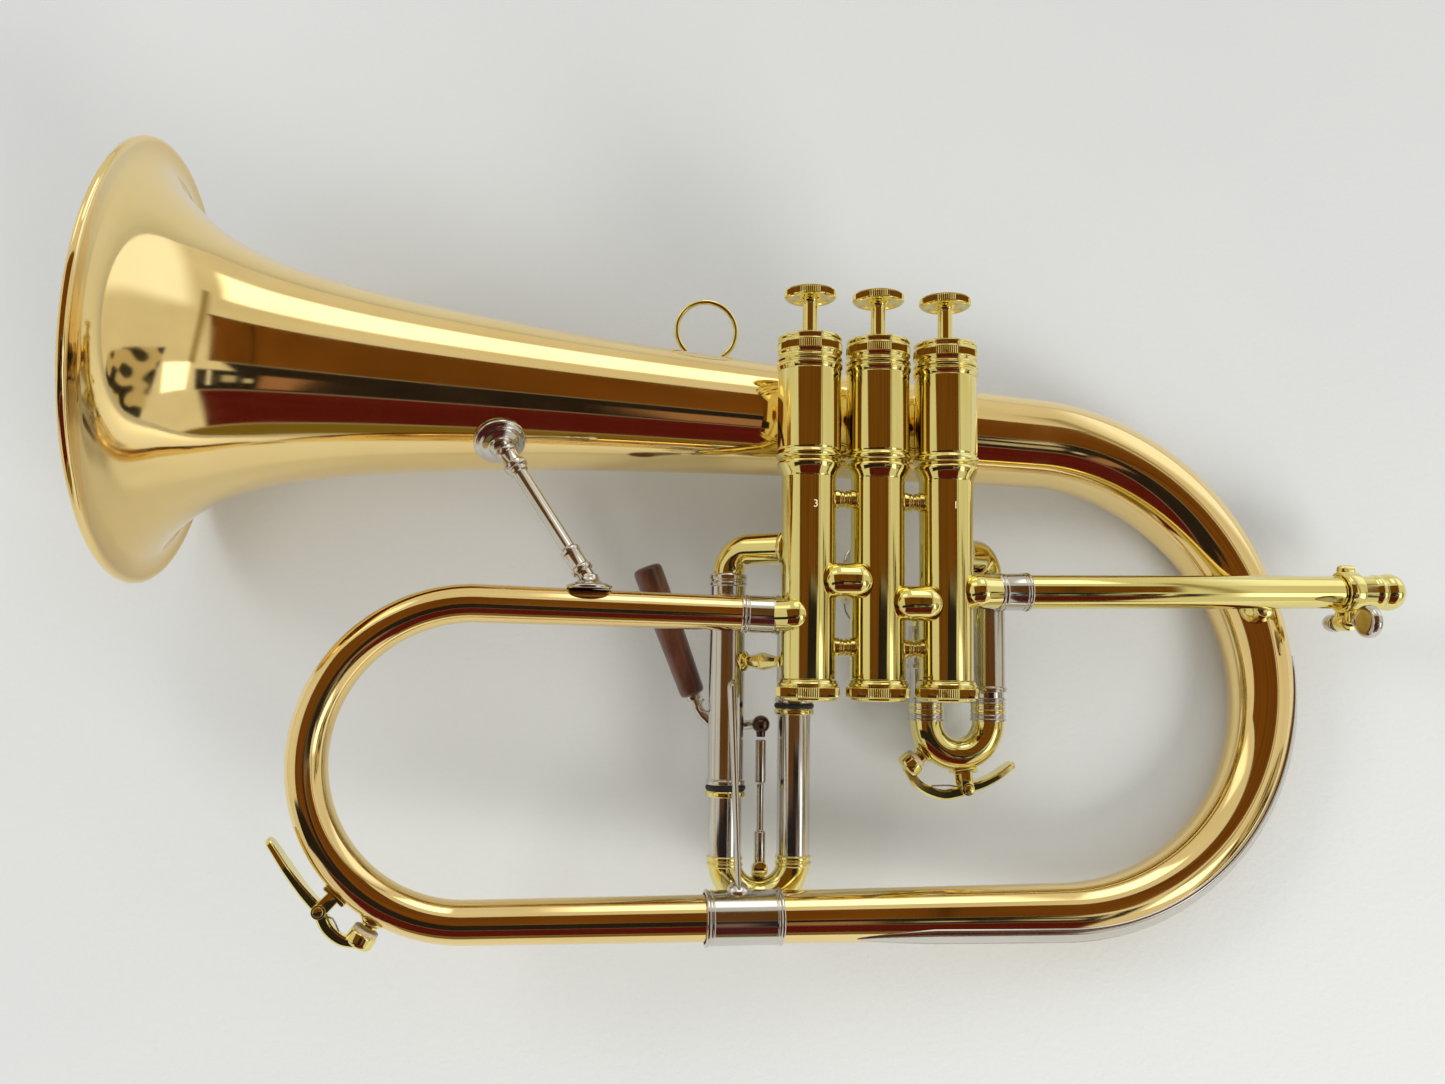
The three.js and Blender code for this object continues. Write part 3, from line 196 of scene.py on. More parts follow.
def metal(name, light, dark, smooth, dull, coat=0.25):
    """Polished metal under clear lacquer: its colour wanders a little, with handling haze and hairlines."""
    n = Nodes(name)
    n.shader.inputs["Metallic"].default_value = 1.0
    n.shader.inputs["Coat Weight"].default_value = coat
    n.shader.inputs["Coat Roughness"].default_value = 0.05
    tone = n.noise(28, 4)
    n.link(n.ramp(tone, [(0.3, dark), (0.7, light)]), "Base Color")
    haze = n.noise(55, 6, rough=0.65)
    hairs = n.noise(900, 2, stretch=(1, 0.06, 1))
    mixed = n.add("ShaderNodeMath")
    mixed.operation = "MULTIPLY_ADD"
    n.tree.links.new(hairs, mixed.inputs[0])
    mixed.inputs[1].default_value = 0.25
    n.tree.links.new(haze, mixed.inputs[2])
    n.link(n.span(mixed.outputs[0], smooth, dull, 0.4, 0.85), "Roughness")
    ripple = n.noise(16, 2)
    n.bump(ripple, 0.06, 0.0012)
    return n.mat


GOLD_BRASS = metal("gold_brass", (0.95, 0.735, 0.335), (0.92, 0.68, 0.28), 0.04, 0.11)
YELLOW_BRASS = metal("yellow_brass", (0.91, 0.80, 0.32), (0.87, 0.74, 0.25), 0.04, 0.12)
NICKEL = metal("nickel_silver", (0.70, 0.67, 0.61), (0.62, 0.585, 0.52), 0.08, 0.18)
DARK_STEEL = metal("dark_steel", (0.20, 0.15, 0.13), (0.12, 0.08, 0.07), 0.18, 0.32, 0.0)
SPRING_STEEL = metal("spring_steel", (0.55, 0.55, 0.54), (0.42, 0.42, 0.42), 0.2, 0.35, 0.0)


def walnut():
    n = Nodes("walnut")
    grain = n.noise(60, 8, stretch=(1.4, 0.09, 1.4), rough=0.7)
    n.link(
        n.ramp(
            grain,
            [(0.30, (0.022, 0.006, 0.003)), (0.48, (0.075, 0.020, 0.008)), (0.66, (0.15, 0.048, 0.018))],
        ),
        "Base Color",
    )
    pores = n.noise(500, 3, stretch=(1, 0.05, 1))
    n.link(n.span(pores, 0.28, 0.5), "Roughness")
    n.bump(pores, 0.35, 0.0003)
    n.shader.inputs["Coat Weight"].default_value = 0.7
    n.shader.inputs["Coat Roughness"].default_value = 0.15
    return n.mat


def plain(name, light, dark, rough, scale=300.0):
    n = Nodes(name)
    grain = n.noise(scale, 5, rough=0.7)
    n.link(n.ramp(grain, [(0.3, dark), (0.7, light)]), "Base Color")
    n.link(n.span(grain, rough - 0.1, rough + 0.1), "Roughness")
    n.bump(grain, 0.4, 0.0003)
    return n.mat


WALNUT = walnut()
BLACK_RUBBER = plain("black_rubber", (0.02, 0.02, 0.02), (0.008, 0.008, 0.008), 0.6)
CORK = plain("cork", (0.62, 0.50, 0.34), (0.36, 0.25, 0.14), 0.85, 1400.0)
# The valve numerals are real engraved marks, but this pale cream colour is a painted highlight: it stands for the
# light that the cut lines catch.
ENGRAVED_PAINTED_GLINT = plain("engraved_painted_glint", (0.95, 0.88, 0.60), (0.75, 0.66, 0.38), 0.5)

SLOTS = {
    "gold_brass": GOLD_BRASS,
    "yellow_brass": YELLOW_BRASS,
    "nickel_silver": NICKEL,
    "spring_steel": SPRING_STEEL,
    "walnut": WALNUT,
}
for node in frame["nodes"].values():
    for each in node.material_slots:
        base = each.material.name.split(".")[0] if each.material else ""
        each.material = SLOTS.get(base, YELLOW_BRASS)
for sub in frame["record"]["subparts"]:
    node = frame["nodes"][sub["node"]]
    for each in node.material_slots:
        each.material = SLOTS[sub["material_slot"]]


# --------------------------------------------------------------------------------------------
# Mesh building, in the horn's millimetres
# --------------------------------------------------------------------------------------------
def basis(direction, hint=None):
    """Two unit vectors across a direction."""
    d = direction.normalized()
    hint = hint or (Z if abs(d.dot(Z)) < 0.9 else X)
    side = (hint - d * hint.dot(d)).normalized()
    return side, d.cross(side)


def rounded(outline, radius=0.25, closed=False):
    """The outline with its corners rounded off by short arcs."""
    points = [V((r, h)) for r, h in outline]
    count = len(points)
    out = []
    for i, p in enumerate(points):
        if not closed and i in (0, count - 1):
            out.append(p)
            continue
        a, b = points[i - 1], points[(i + 1) % count]
        da, db = a - p, b - p
        if da.length < 1e-6 or db.length < 1e-6 or da.angle(db) > math.radians(168):
            out.append(p)
            continue
        cut = min(radius, da.length * 0.45, db.length * 0.45)
        start, end = p + da.normalized() * cut, p + db.normalized() * cut
        for t in (0, 0.33, 0.67, 1):
            out.append(start * (1 - t) ** 2 + p * 2 * t * (1 - t) + end * t * t)
    return [(q.x, q.y) for q in out]


def circle(centre, side, across, radius, sides, flat=1.0):
    """The points of a ring round centre, flattened along across."""
    return [
        centre
        + side * (radius * math.cos(2 * math.pi * k / sides))
        + across * (radius * flat * math.sin(2 * math.pi * k / sides))
        for k in range(sides)
    ]


def along_list(values, i, count):
    """The value at point i of count, from a number or a list of numbers spread evenly."""
    if not isinstance(values, (list, tuple)):
        return values
    t = i / (count - 1) * (len(values) - 1)
    low = min(int(t), len(values) - 2)
    return values[low] + (values[low + 1] - values[low]) * (t - low)


class Route:
    """Straights and arcs laid end to end; every arc turns towards the side direction."""

    def __init__(self, start, heading, side, pieces):
        self.legs = []
        self.total = 0.0
        frame_ = (start.copy(), heading.normalized(), side.normalized())
        for kind, *size in pieces:
            if kind == "line":
                length, bend = size[0], 0.0
            else:
                turn = math.radians(size[1])
                length, bend = size[0] * turn, 1 / size[0]
            leg = (*frame_, bend, self.total, length)
            self.legs.append(leg)
            self.total += length
            frame_ = self.walk(leg, length)

    @staticmethod
    def walk(leg, distance):
        point, heading, side, bend = leg[:4]
        angle = bend * distance
        forward = math.sin(angle) / bend if bend else distance
        across = (1 - math.cos(angle)) / bend if bend else 0.0
        return (
            point + heading * forward + side * across,
            heading * math.cos(angle) + side * math.sin(angle),
            side * math.cos(angle) - heading * math.sin(angle),
        )

    def frame(self, distance):
        leg = self.legs[0]
        for each in self.legs:
            if each[4] <= distance:
                leg = each
        return self.walk(leg, distance - leg[4])

    def marks(self, start, end, step=4.0):
        """Distances from start to end, every few degrees in the arcs."""
        found = {start, end}
        for leg in self.legs:
            turn = math.degrees(leg[3] * leg[5])
            count = max(1, math.ceil(turn / step))
            found.update(leg[4] + leg[5] * i / count for i in range(count + 1))
        ordered = sorted(m for m in found if start <= m <= end)
        kept = [ordered[0]]
        for mark in ordered[1:]:
            if mark - kept[-1] > 0.02:
                kept.append(mark)
        return kept


class Shape:
    """Gathers closed shells and becomes one piece."""

    def __init__(self):
        self.verts = []
        self.faces = []

    def grid(self, rings, loop, poles=(None, None)):
        """Rings of equal length, joined in order, and round to the first if loop."""
        base = len(self.verts)
        sides = len(rings[0])
        for ring in rings:
            self.verts.extend(ring)
        count = len(rings)
        for i in range(count if loop else count - 1):
            a, b = base + i * sides, base + (i + 1) % count * sides
            for k in range(sides):
                n = (k + 1) % sides
                self.faces.append((a + k, a + n, b + n, b + k))
        for which, pole in enumerate(poles):
            if pole is None:
                continue
            self.verts.append(pole)
            tip = len(self.verts) - 1
            ring = base + (0 if which == 0 else (count - 1) * sides)
            for k in range(sides):
                n = (k + 1) % sides
                pair = (ring + n, ring + k) if which == 0 else (ring + k, ring + n)
                self.faces.append((*pair, tip))
        return self

    def turn(self, outline, at=V((0, 0, 0)), along=Y, sides=56, soft=0.25, teeth=None):
        """A turned shape; teeth = (low, high, depth) cuts a knurl between two heights."""
        on_axis = outline[0][0] == 0 and outline[-1][0] == 0
        if soft:
            outline = rounded(outline, soft, closed=not on_axis)
        side, up = basis(along)
        d = along.normalized()
        body = outline[1:-1] if on_axis else outline
        rings = []
        for r, h in body:
            ring = []
            for k in range(sides):
                radius = r
                if teeth and teeth[0] <= h <= teeth[1] and k % 2:
                    radius -= teeth[2]
                angle = 2 * math.pi * k / sides
                across = side * math.cos(angle) + up * math.sin(angle)
                ring.append(at + d * h + across * radius)
            rings.append(ring)
        if on_axis:
            poles = (at + d * outline[0][1], at + d * outline[-1][1])
            return self.grid(rings, False, poles)
        return self.grid(rings, True)

    def pipe(self, route, start, end, radius, wall=0.6, sides=48, step=4.0, extra=()):
        """A bent pipe with open ends; radius is a number or a function of the distance."""
        radius_at = radius if callable(radius) else lambda s: radius
        marks = sorted({*route.marks(start, end, step), *extra})
        outer, inner = [], []
        for mark in marks:
            point, heading, side = route.frame(mark)
            across = side.cross(heading)
            r = radius_at(mark)
            for ring, size in ((outer, r), (inner, r - wall)):
                ring.append(circle(point, side, across, size, sides))
        return self.grid(outer + inner[::-1], True)

    def rod(self, points, radius, sides=20, smooth=8, flat=1.0):
        """A round bar through points, with domed ends; radius is a number or one per point."""
        path = spline(points, smooth) if smooth > 1 else points
        count = len(path)
        rings, tangents, side = [], [], None
        for i, p in enumerate(path):
            tangent = (path[min(i + 1, count - 1)] - path[max(i - 1, 0)]).normalized()
            side = basis(tangent, side)[0]
            rings.append(circle(p, side, tangent.cross(side), along_list(radius, i, count), sides, flat))
            tangents.append(tangent)

        def shrunk(end, share, rise):
            return [path[end] + (q - path[end]) * share + rise for q in rings[end]]

        back = tangents[0] * along_list(radius, 0, count)
        ahead = tangents[-1] * along_list(radius, count - 1, count)
        start = [shrunk(0, share, -back * (0.8 * math.sqrt(1 - share * share))) for share in (0.5, 0.85)]
        stop = [shrunk(-1, 0.85, ahead * 0.42), shrunk(-1, 0.5, ahead * 0.69)]
        poles = (path[0] - back * 0.8, path[-1] + ahead * 0.8)
        return self.grid(start + rings + stop, False, poles)

    def ball(self, at, radius, along=Y, squash=1.0, sides=36):
        outline = [
            (radius * math.sin(a), -radius * squash * math.cos(a))
            for a in np.linspace(0, math.pi, 19)
        ]
        outline[0], outline[-1] = (0, -radius * squash), (0, radius * squash)
        return self.turn(outline, at, along, sides, soft=0)

    def block(self, at, size, axes=(X, Y, Z), bevel=0.4, segments=3):
        """A box with rounded edges."""
        bm = bmesh.new()
        bmesh.ops.create_cube(bm, size=1.0)
        for v in bm.verts:
            v.co = V(v.co[i] * size[i] for i in range(3))
        bmesh.ops.bevel(
            bm, geom=bm.edges[:], offset=min(bevel, min(size) * 0.45), segments=segments,
            profile=0.5, affect="EDGES",
        )
        base = len(self.verts)
        for v in bm.verts:
            self.verts.append(at + sum((axes[i] * v.co[i] for i in range(3)), V((0, 0, 0))))
        for f in bm.faces:
            self.faces.append(tuple(base + v.index for v in f.verts))
        bm.free()
        return self

    def strap(self, path, widths, thick, across=Z, smooth=6):
        """A curved bar of rounded rectangular section: half widths along across, half thicknesses."""
        line = spline(path, smooth)
        count = len(line)
        rings = []
        for i, p in enumerate(line):
            tangent = (line[min(i + 1, count - 1)] - line[max(i - 1, 0)]).normalized()
            normal = tangent.cross(across).normalized()
            w, t = along_list(widths, i, count), along_list(thick, i, count)
            c = min(w, t) * 0.4
            corners = [
                (w - c, t), (w, t - c), (w, -t + c), (w - c, -t),
                (-w + c, -t), (-w, -t + c), (-w, t - c), (-w + c, t),
            ]
            rings.append([p + across * a + normal * b for a, b in corners])
        return self.grid(rings, False, (line[0], line[-1]))

    def make(self, name, material, body="horn", replaces=(), slot=None, sharp=34):
        mesh = bpy.data.meshes.new(name)
        mesh.from_pydata([HORN @ v for v in self.verts], [], self.faces)
        bm = bmesh.new()
        bm.from_mesh(mesh)
        bmesh.ops.remove_doubles(bm, verts=bm.verts, dist=1e-7)
        bmesh.ops.dissolve_degenerate(bm, dist=1e-7, edges=bm.edges)
        bmesh.ops.recalc_face_normals(bm, faces=bm.faces)
        bm.to_mesh(mesh)
        bm.free()
        mesh.polygons.foreach_set("use_smooth", [True] * len(mesh.polygons))
        mesh.set_sharp_from_angle(angle=math.radians(sharp))
        mesh.materials.append(material)
        thing = bpy.data.objects.new(name, mesh)
        bpy.context.scene.collection.objects.link(thing)
        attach(thing, body)
        if replaces:
            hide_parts(*([replaces] if isinstance(replaces, str) else replaces))
        return thing


def spline(points, per=6):
    """A smooth line through points."""
    if len(points) < 3:
        return [points[0].lerp(points[-1], i / per) for i in range(per + 1)]
    out = []
    for i in range(len(points) - 1):
        p0 = points[i - 1] if i else points[0] * 2 - points[1]
        p1, p2 = points[i], points[i + 1]
        p3 = points[i + 2] if i + 2 < len(points) else points[-1] * 2 - points[-2]
        for k in range(per):
            t = k / per
            out.append(
                0.5
                * (
                    p1 * 2
                    + (p2 - p0) * t
                    + (p0 * 2 - p1 * 5 + p2 * 4 - p3) * t * t
                    + (p1 * 3 - p0 - p2 * 3 + p3) * t**3
                )
            )
    out.append(points[-1].copy())
    return out


# --------------------------------------------------------------------------------------------
# Routes
# --------------------------------------------------------------------------------------------
bell_up = V((0, math.cos(BELL_TILT), -math.sin(BELL_TILT)))
bell_route = Route(
    V((TAIL_X, LOWER_Y, 0)), X, bell_up,
    [("line", BACK_BOW_X - TAIL_X), ("arc", BACK_BOW_RADIUS, 180 - BELL_CLIMB), ("line", BELL_LENGTH)],
)
front_start = V((TAIL_X - 0.3, LOWER_Y, 0))
front_route = Route(
    front_start, -X, Y,
    [("line", front_start.x - FRONT_BOW_X), ("arc", FRONT_BOW_RADIUS, 180 + BRANCH_CLIMB), ("line", 89)],
)
branch_end, branch_dir, _ = front_route.frame(front_route.total)

# Outer radius of the bell by distance from the rim.
PROFILE = [
    (0, 76.0), (2, 71.0), (5, 65.0), (10, 58.5), (16.6, 52.5), (24, 47.2), (34, 42.3), (46, 38.2),
    (60, 35.0), (80, 31.6), (110, 28.0), (150, 24.5), (205, 21.3), (265, 18.7), (322, 16.9), (350, 16.2),
    (375, 15.4), (400, 14.2), (420, 13.0), (450, 11.8), (478, 11.0), (502, 10.4), (530, 10.0), (580, 9.5),
    (620, 9.1), (660, 8.4), (706, 8.1),
]


def cubic(xs, ys):
    """A natural cubic spline through points, as a function."""
    xs, ys = np.array(xs, float), np.array(ys, float)
    n = len(xs)
    h = np.diff(xs)
    a = np.eye(n)
    b = np.zeros(n)
    for i in range(1, n - 1):
        a[i, i - 1], a[i, i], a[i, i + 1] = h[i - 1], 2 * (h[i - 1] + h[i]), h[i]
        b[i] = 3 * ((ys[i + 1] - ys[i]) / h[i] - (ys[i] - ys[i - 1]) / h[i - 1])
    c = np.linalg.solve(a, b)

    def value(x):
        i = int(np.clip(np.searchsorted(xs, x) - 1, 0, n - 2))
        t = x - xs[i]
        d = (c[i + 1] - c[i]) / (3 * h[i])
        slope = (ys[i + 1] - ys[i]) / h[i] - h[i] * (2 * c[i] + c[i + 1]) / 3
        return float(ys[i] + slope * t + c[i] * t * t + d * t**3)

    return value


PROFILE_SHIFT = 6.0
profile_curve = cubic(
    [math.log(s + PROFILE_SHIFT) for s, _ in PROFILE], [math.log(r) for _, r in PROFILE]
)


def bell_radius(from_rim):
    return math.exp(profile_curve(math.log(max(0.0, from_rim) + PROFILE_SHIFT)))


def bell_radius_at(distance):
    return bell_radius(bell_route.total - distance)


def front_radius(s):
    return 7.45 + (5.85 - 7.45) * s / front_route.total


# --------------------------------------------------------------------------------------------
# Bell, bows and ferrules
# --------------------------------------------------------------------------------------------
def bell():
    total = bell_route.total
    marks = [m for m in bell_route.marks(0, total - 46, 2.0)]
    straight = np.arange(bell_route.legs[2][4] + 6, total - 46, 6.0)
    near_rim = (46, 42, 38, 34, 30, 27, 24, 21, 18.5, 16, 14, 12, 10.4, 9, 7.8, 6.7, 5.7, 4.8, 4.0, 3.4)
    near = [total - s for s in near_rim]
    marks = sorted({*marks, *straight.tolist(), *near})
    sides = 144
    bead = [
        (0.966, 2.9), (0.978, 3.25), (0.990, 3.1), (0.998, 2.4), (1.0, 1.5),
        (0.997, 0.7), (0.988, 0.15), (0.975, 0.0), (0.962, 0.35), (0.950, 1.0),
    ]
    outer = [(bell_radius_at(m), m) for m in marks]
    lip = [(share * BELL_RADIUS, total - s) for share, s in bead]
    inner = [(bell_radius_at(m) - BELL_WALL, m) for m in marks]
    rings = []
    for r, m in outer + lip + inner[::-1]:
        point, heading, side = bell_route.frame(m)
        across = side.cross(heading)
        rings.append(circle(point, side, across, r, sides))
    Shape().grid(rings, True).make(
        "bell", GOLD_BRASS, replaces=("bell_flare", "bell_back_bow"), slot="gold_brass", sharp=50
    )


def beaded(radius, length, bore, bead=0.45):
    """The outline of a ferrule with a bead at each end and fine lines beside them."""
    pts = [
        (bore, 0), (radius + bead * 0.5, 0), (radius + bead, 0.35), (radius + bead, 0.95),
        (radius + bead * 0.3, 1.2), (radius, 1.4), (radius, 1.9), (radius + bead * 0.35, 2.1),
        (radius + bead * 0.35, 2.4), (radius, 2.6),
    ]
    mirrored = [(r, length - h) for r, h in reversed(pts)]
    return pts + mirrored


bell()
Shape().pipe(front_route, 0, front_route.total, front_radius, 0.6, 56, 3.0).make(
    "front_bow_tube", GOLD_BRASS, replaces="front_bow", slot="gold_brass", sharp=50
)
Shape().turn(beaded(8.75, 25.6, 8.2), V((TAIL_X - 1.2, LOWER_Y, 0)), X, 72, 0.15).make(
    "bell_ferrule_sleeve", NICKEL, replaces="bell_ferrule", slot="nickel_silver"
)
Shape().turn(beaded(6.3, 13.4, 5.95, 0.4), branch_end - branch_dir * 2.8, branch_dir, 56, 0.12).make(
    "outlet_ferrule_sleeve", NICKEL, replaces="outlet_ferrule", slot="nickel_silver"
)

# The knuckle from the ferrule into the third casing, domed over the port and saddled to the casing.


def dome(radius, from_, to):
    """A rod's outline with a round far end."""
    arc = [
        (radius * math.cos(a), to - radius + radius * math.sin(a)) for a in np.linspace(0, math.pi / 2, 10)
    ]
    arc[-1] = (0, to)
    return [(0, from_), (radius, from_), *arc]


def port_knuckle(name, start, end, radius, replaces):
    """A port's knuckle: a round-ended tube that comes forward over the side of its casing."""
    run = (end - start).length
    shape = Shape().turn(dome(radius, -0.4, run), start, end - start, 56, 0)
    shape.turn(
        [(0, 0.0), (radius + 0.35, 0.3), (radius + 0.35, 1.1), (0, 1.4)],
        start, end - start, 48, 0.2,
    )
    shape.make(name, YELLOW_BRASS, replaces=replaces, slot="yellow_brass")


start = branch_end + branch_dir * 9.2
port_knuckle("outlet_knuckle_body", start, V((valve_x(3) - 1.2, start.y + 0.1, 7.6)), 5.9, "outlet_knuckle")


def bow_guard():
    """A strip of nickel silver along the outside of the bow, pointed at both ends."""
    start_, end_ = 48.7, 259.7
    count = 90
    rings = []
    for i in range(count + 1):
        s = start_ + (end_ - start_) * i / count
        point, heading, side = bell_route.frame(s)
        across = side.cross(heading)
        r = bell_radius_at(s) + 0.02
        taper = min(1.0, (s - start_ + 0.4) / 26, (end_ - s + 0.4) / 26) ** 0.6
        half = 4.0 * taper
        ring = []
        for a, b in ((-1, 0), (-0.93, 0.6), (-0.8, 0.85), (0, 1.0), (0.8, 0.85), (0.93, 0.6), (1, 0), (0, -0.3)):
            angle = a * half / r - math.radians(32)
            out = -side * math.cos(angle) + across * math.sin(angle)
            ring.append(point + out * (r + b * (0.3 + 0.7 * taper)))
        rings.append(ring)
    Shape().grid(rings, False, (rings[0][3], rings[-1][3])).make(
        "bow_guard_strip", NICKEL, replaces="bow_guard", slot="nickel_silver", sharp=60
    )


bow_guard()


# --------------------------------------------------------------------------------------------
# Leadpipe, clamp and mouthpipe
# --------------------------------------------------------------------------------------------
lead_dir = V((math.cos(LEAD_CLIMB), math.sin(LEAD_CLIMB), 0))


def lead(x):
    return V((x, LEAD_Y + (x - valve_x(1)) * math.tan(LEAD_CLIMB), LEAD_Z))


Shape().turn(
    [(5.3, 0), (5.95, 0), (5.95, 126.8), (5.3, 126.8)], lead(45.6), lead_dir, 56, 0.15
).make("leadpipe_tube", YELLOW_BRASS, replaces="leadpipe", slot="yellow_brass")
port_knuckle(
    "leadpipe_knuckle_body", lead(43.4), V((valve_x(1) + 4.6, LEAD_Y, 7.0)), 5.95, "leadpipe_knuckle"
)
Shape().turn(beaded(6.4, 11.6, 6.0, 0.42), lead(42), lead_dir, 56, 0.12).make(
    "leadpipe_ferrule_sleeve", NICKEL, replaces="leadpipe_ferrule", slot="nickel_silver"
)
brace_at = lead(146)
Shape().turn(
    [(0, -11.5), (5.9, -11.5), (6, -8.6), (4.6, -6.6), (3.6, -5.2), (3.6, -3.4), (0, -3)],
    V((brace_at.x, brace_at.y - 5.4, brace_at.z)), Z, 40, 0.8,
).make("leadpipe_brace_foot", YELLOW_BRASS, replaces="leadpipe_brace", slot="yellow_brass")

receiver_start = lead(75)
receiver = [
    (4.6, 0), (5.1, 0), (5.1, 102.2), (5.85, 102.8), (5.85, 109.4), (5.95, 110.0),
    (6.35, 110.8), (6.45, 111.8),
    (6.35, 112.8), (5.9, 113.5), (5.8, 113.9), (6.1, 114.3), (6.6, 115.4), (6.8, 116.8), (6.7, 118.2),
    (6.2, 119.6), (5.4, 120.7), (4.7, 121.2), (4.3, 121.0), (3.8, 104), (4.1, 98),
]
Shape().turn(receiver, receiver_start, lead_dir, 56, 0.5).make(
    "mouthpipe_receiver", YELLOW_BRASS, body="mouthpipe", replaces="mouthpipe", slot="yellow_brass"
)

clamp = lead(175.8)
clamp_screw_y = -9.6
body = Shape().turn(
    [(6.05, -3.2), (7.1, -3.2), (7.6, -2.6), (7.75, -1.2), (7.75, 1.2), (7.6, 2.6),
     (7.1, 3.2), (6.05, 3.2)],
    clamp, lead_dir, 64, 0.3
)
body.block(V((clamp.x, clamp.y - 9.2, clamp.z - 2.9)), (5.2, 5.2, 3.6), bevel=1.2)
body.block(V((clamp.x, clamp.y - 9.2, clamp.z + 2.9)), (5.2, 5.2, 3.6), bevel=1.2)
body.turn(
    [(0, -3), (3.2, -2.8), (3.2, 2.8), (0, 3)],
    V((clamp.x, clamp_screw_y, clamp.z - 1.6)), Z, 32, 0.4,
)
body.turn(
    [(0, -2.9), (1.5, -2.9), (1.9, -2.2), (1.9, 2.2), (1.5, 2.9), (0, 2.9)],
    V((clamp.x, clamp.y + 8.0, clamp.z)), X, 28, 0.4,
)
body.make("pitch_clamp_collar", YELLOW_BRASS, replaces="pitch_clamp", slot="yellow_brass")
screw = V((clamp.x, clamp_screw_y, LEAD_Z))
paddle = Shape().turn([(0, -8), (1.6, -8), (1.6, 5), (2.6, 5.4), (2.6, 6.8), (0, 7.4)], screw, Z, 32, 0.2)
paddle.turn(
    [(0, -1.7), (3.4, -2.1), (4.9, -2.1), (5.7, -1.4), (5.9, 0), (5.7, 1.4), (4.9, 2.1),
     (3.4, 2.1), (0, 1.7)],
    V((screw.x, screw.y, screw.z + 11.0)), X, 56, 0.5,
)
paddle.turn(
    [(0, -11.8), (1.8, -11.5), (2.9, -10.5), (3.3, -9.0), (3.4, -6.4), (2.8, -5.6), (0, -5.6)],
    screw, Z, 36, 0.5,
)
paddle.make("clamp_thumb_screw", NICKEL, body="clamp_screw", replaces="clamp_screw", slot="nickel_silver")


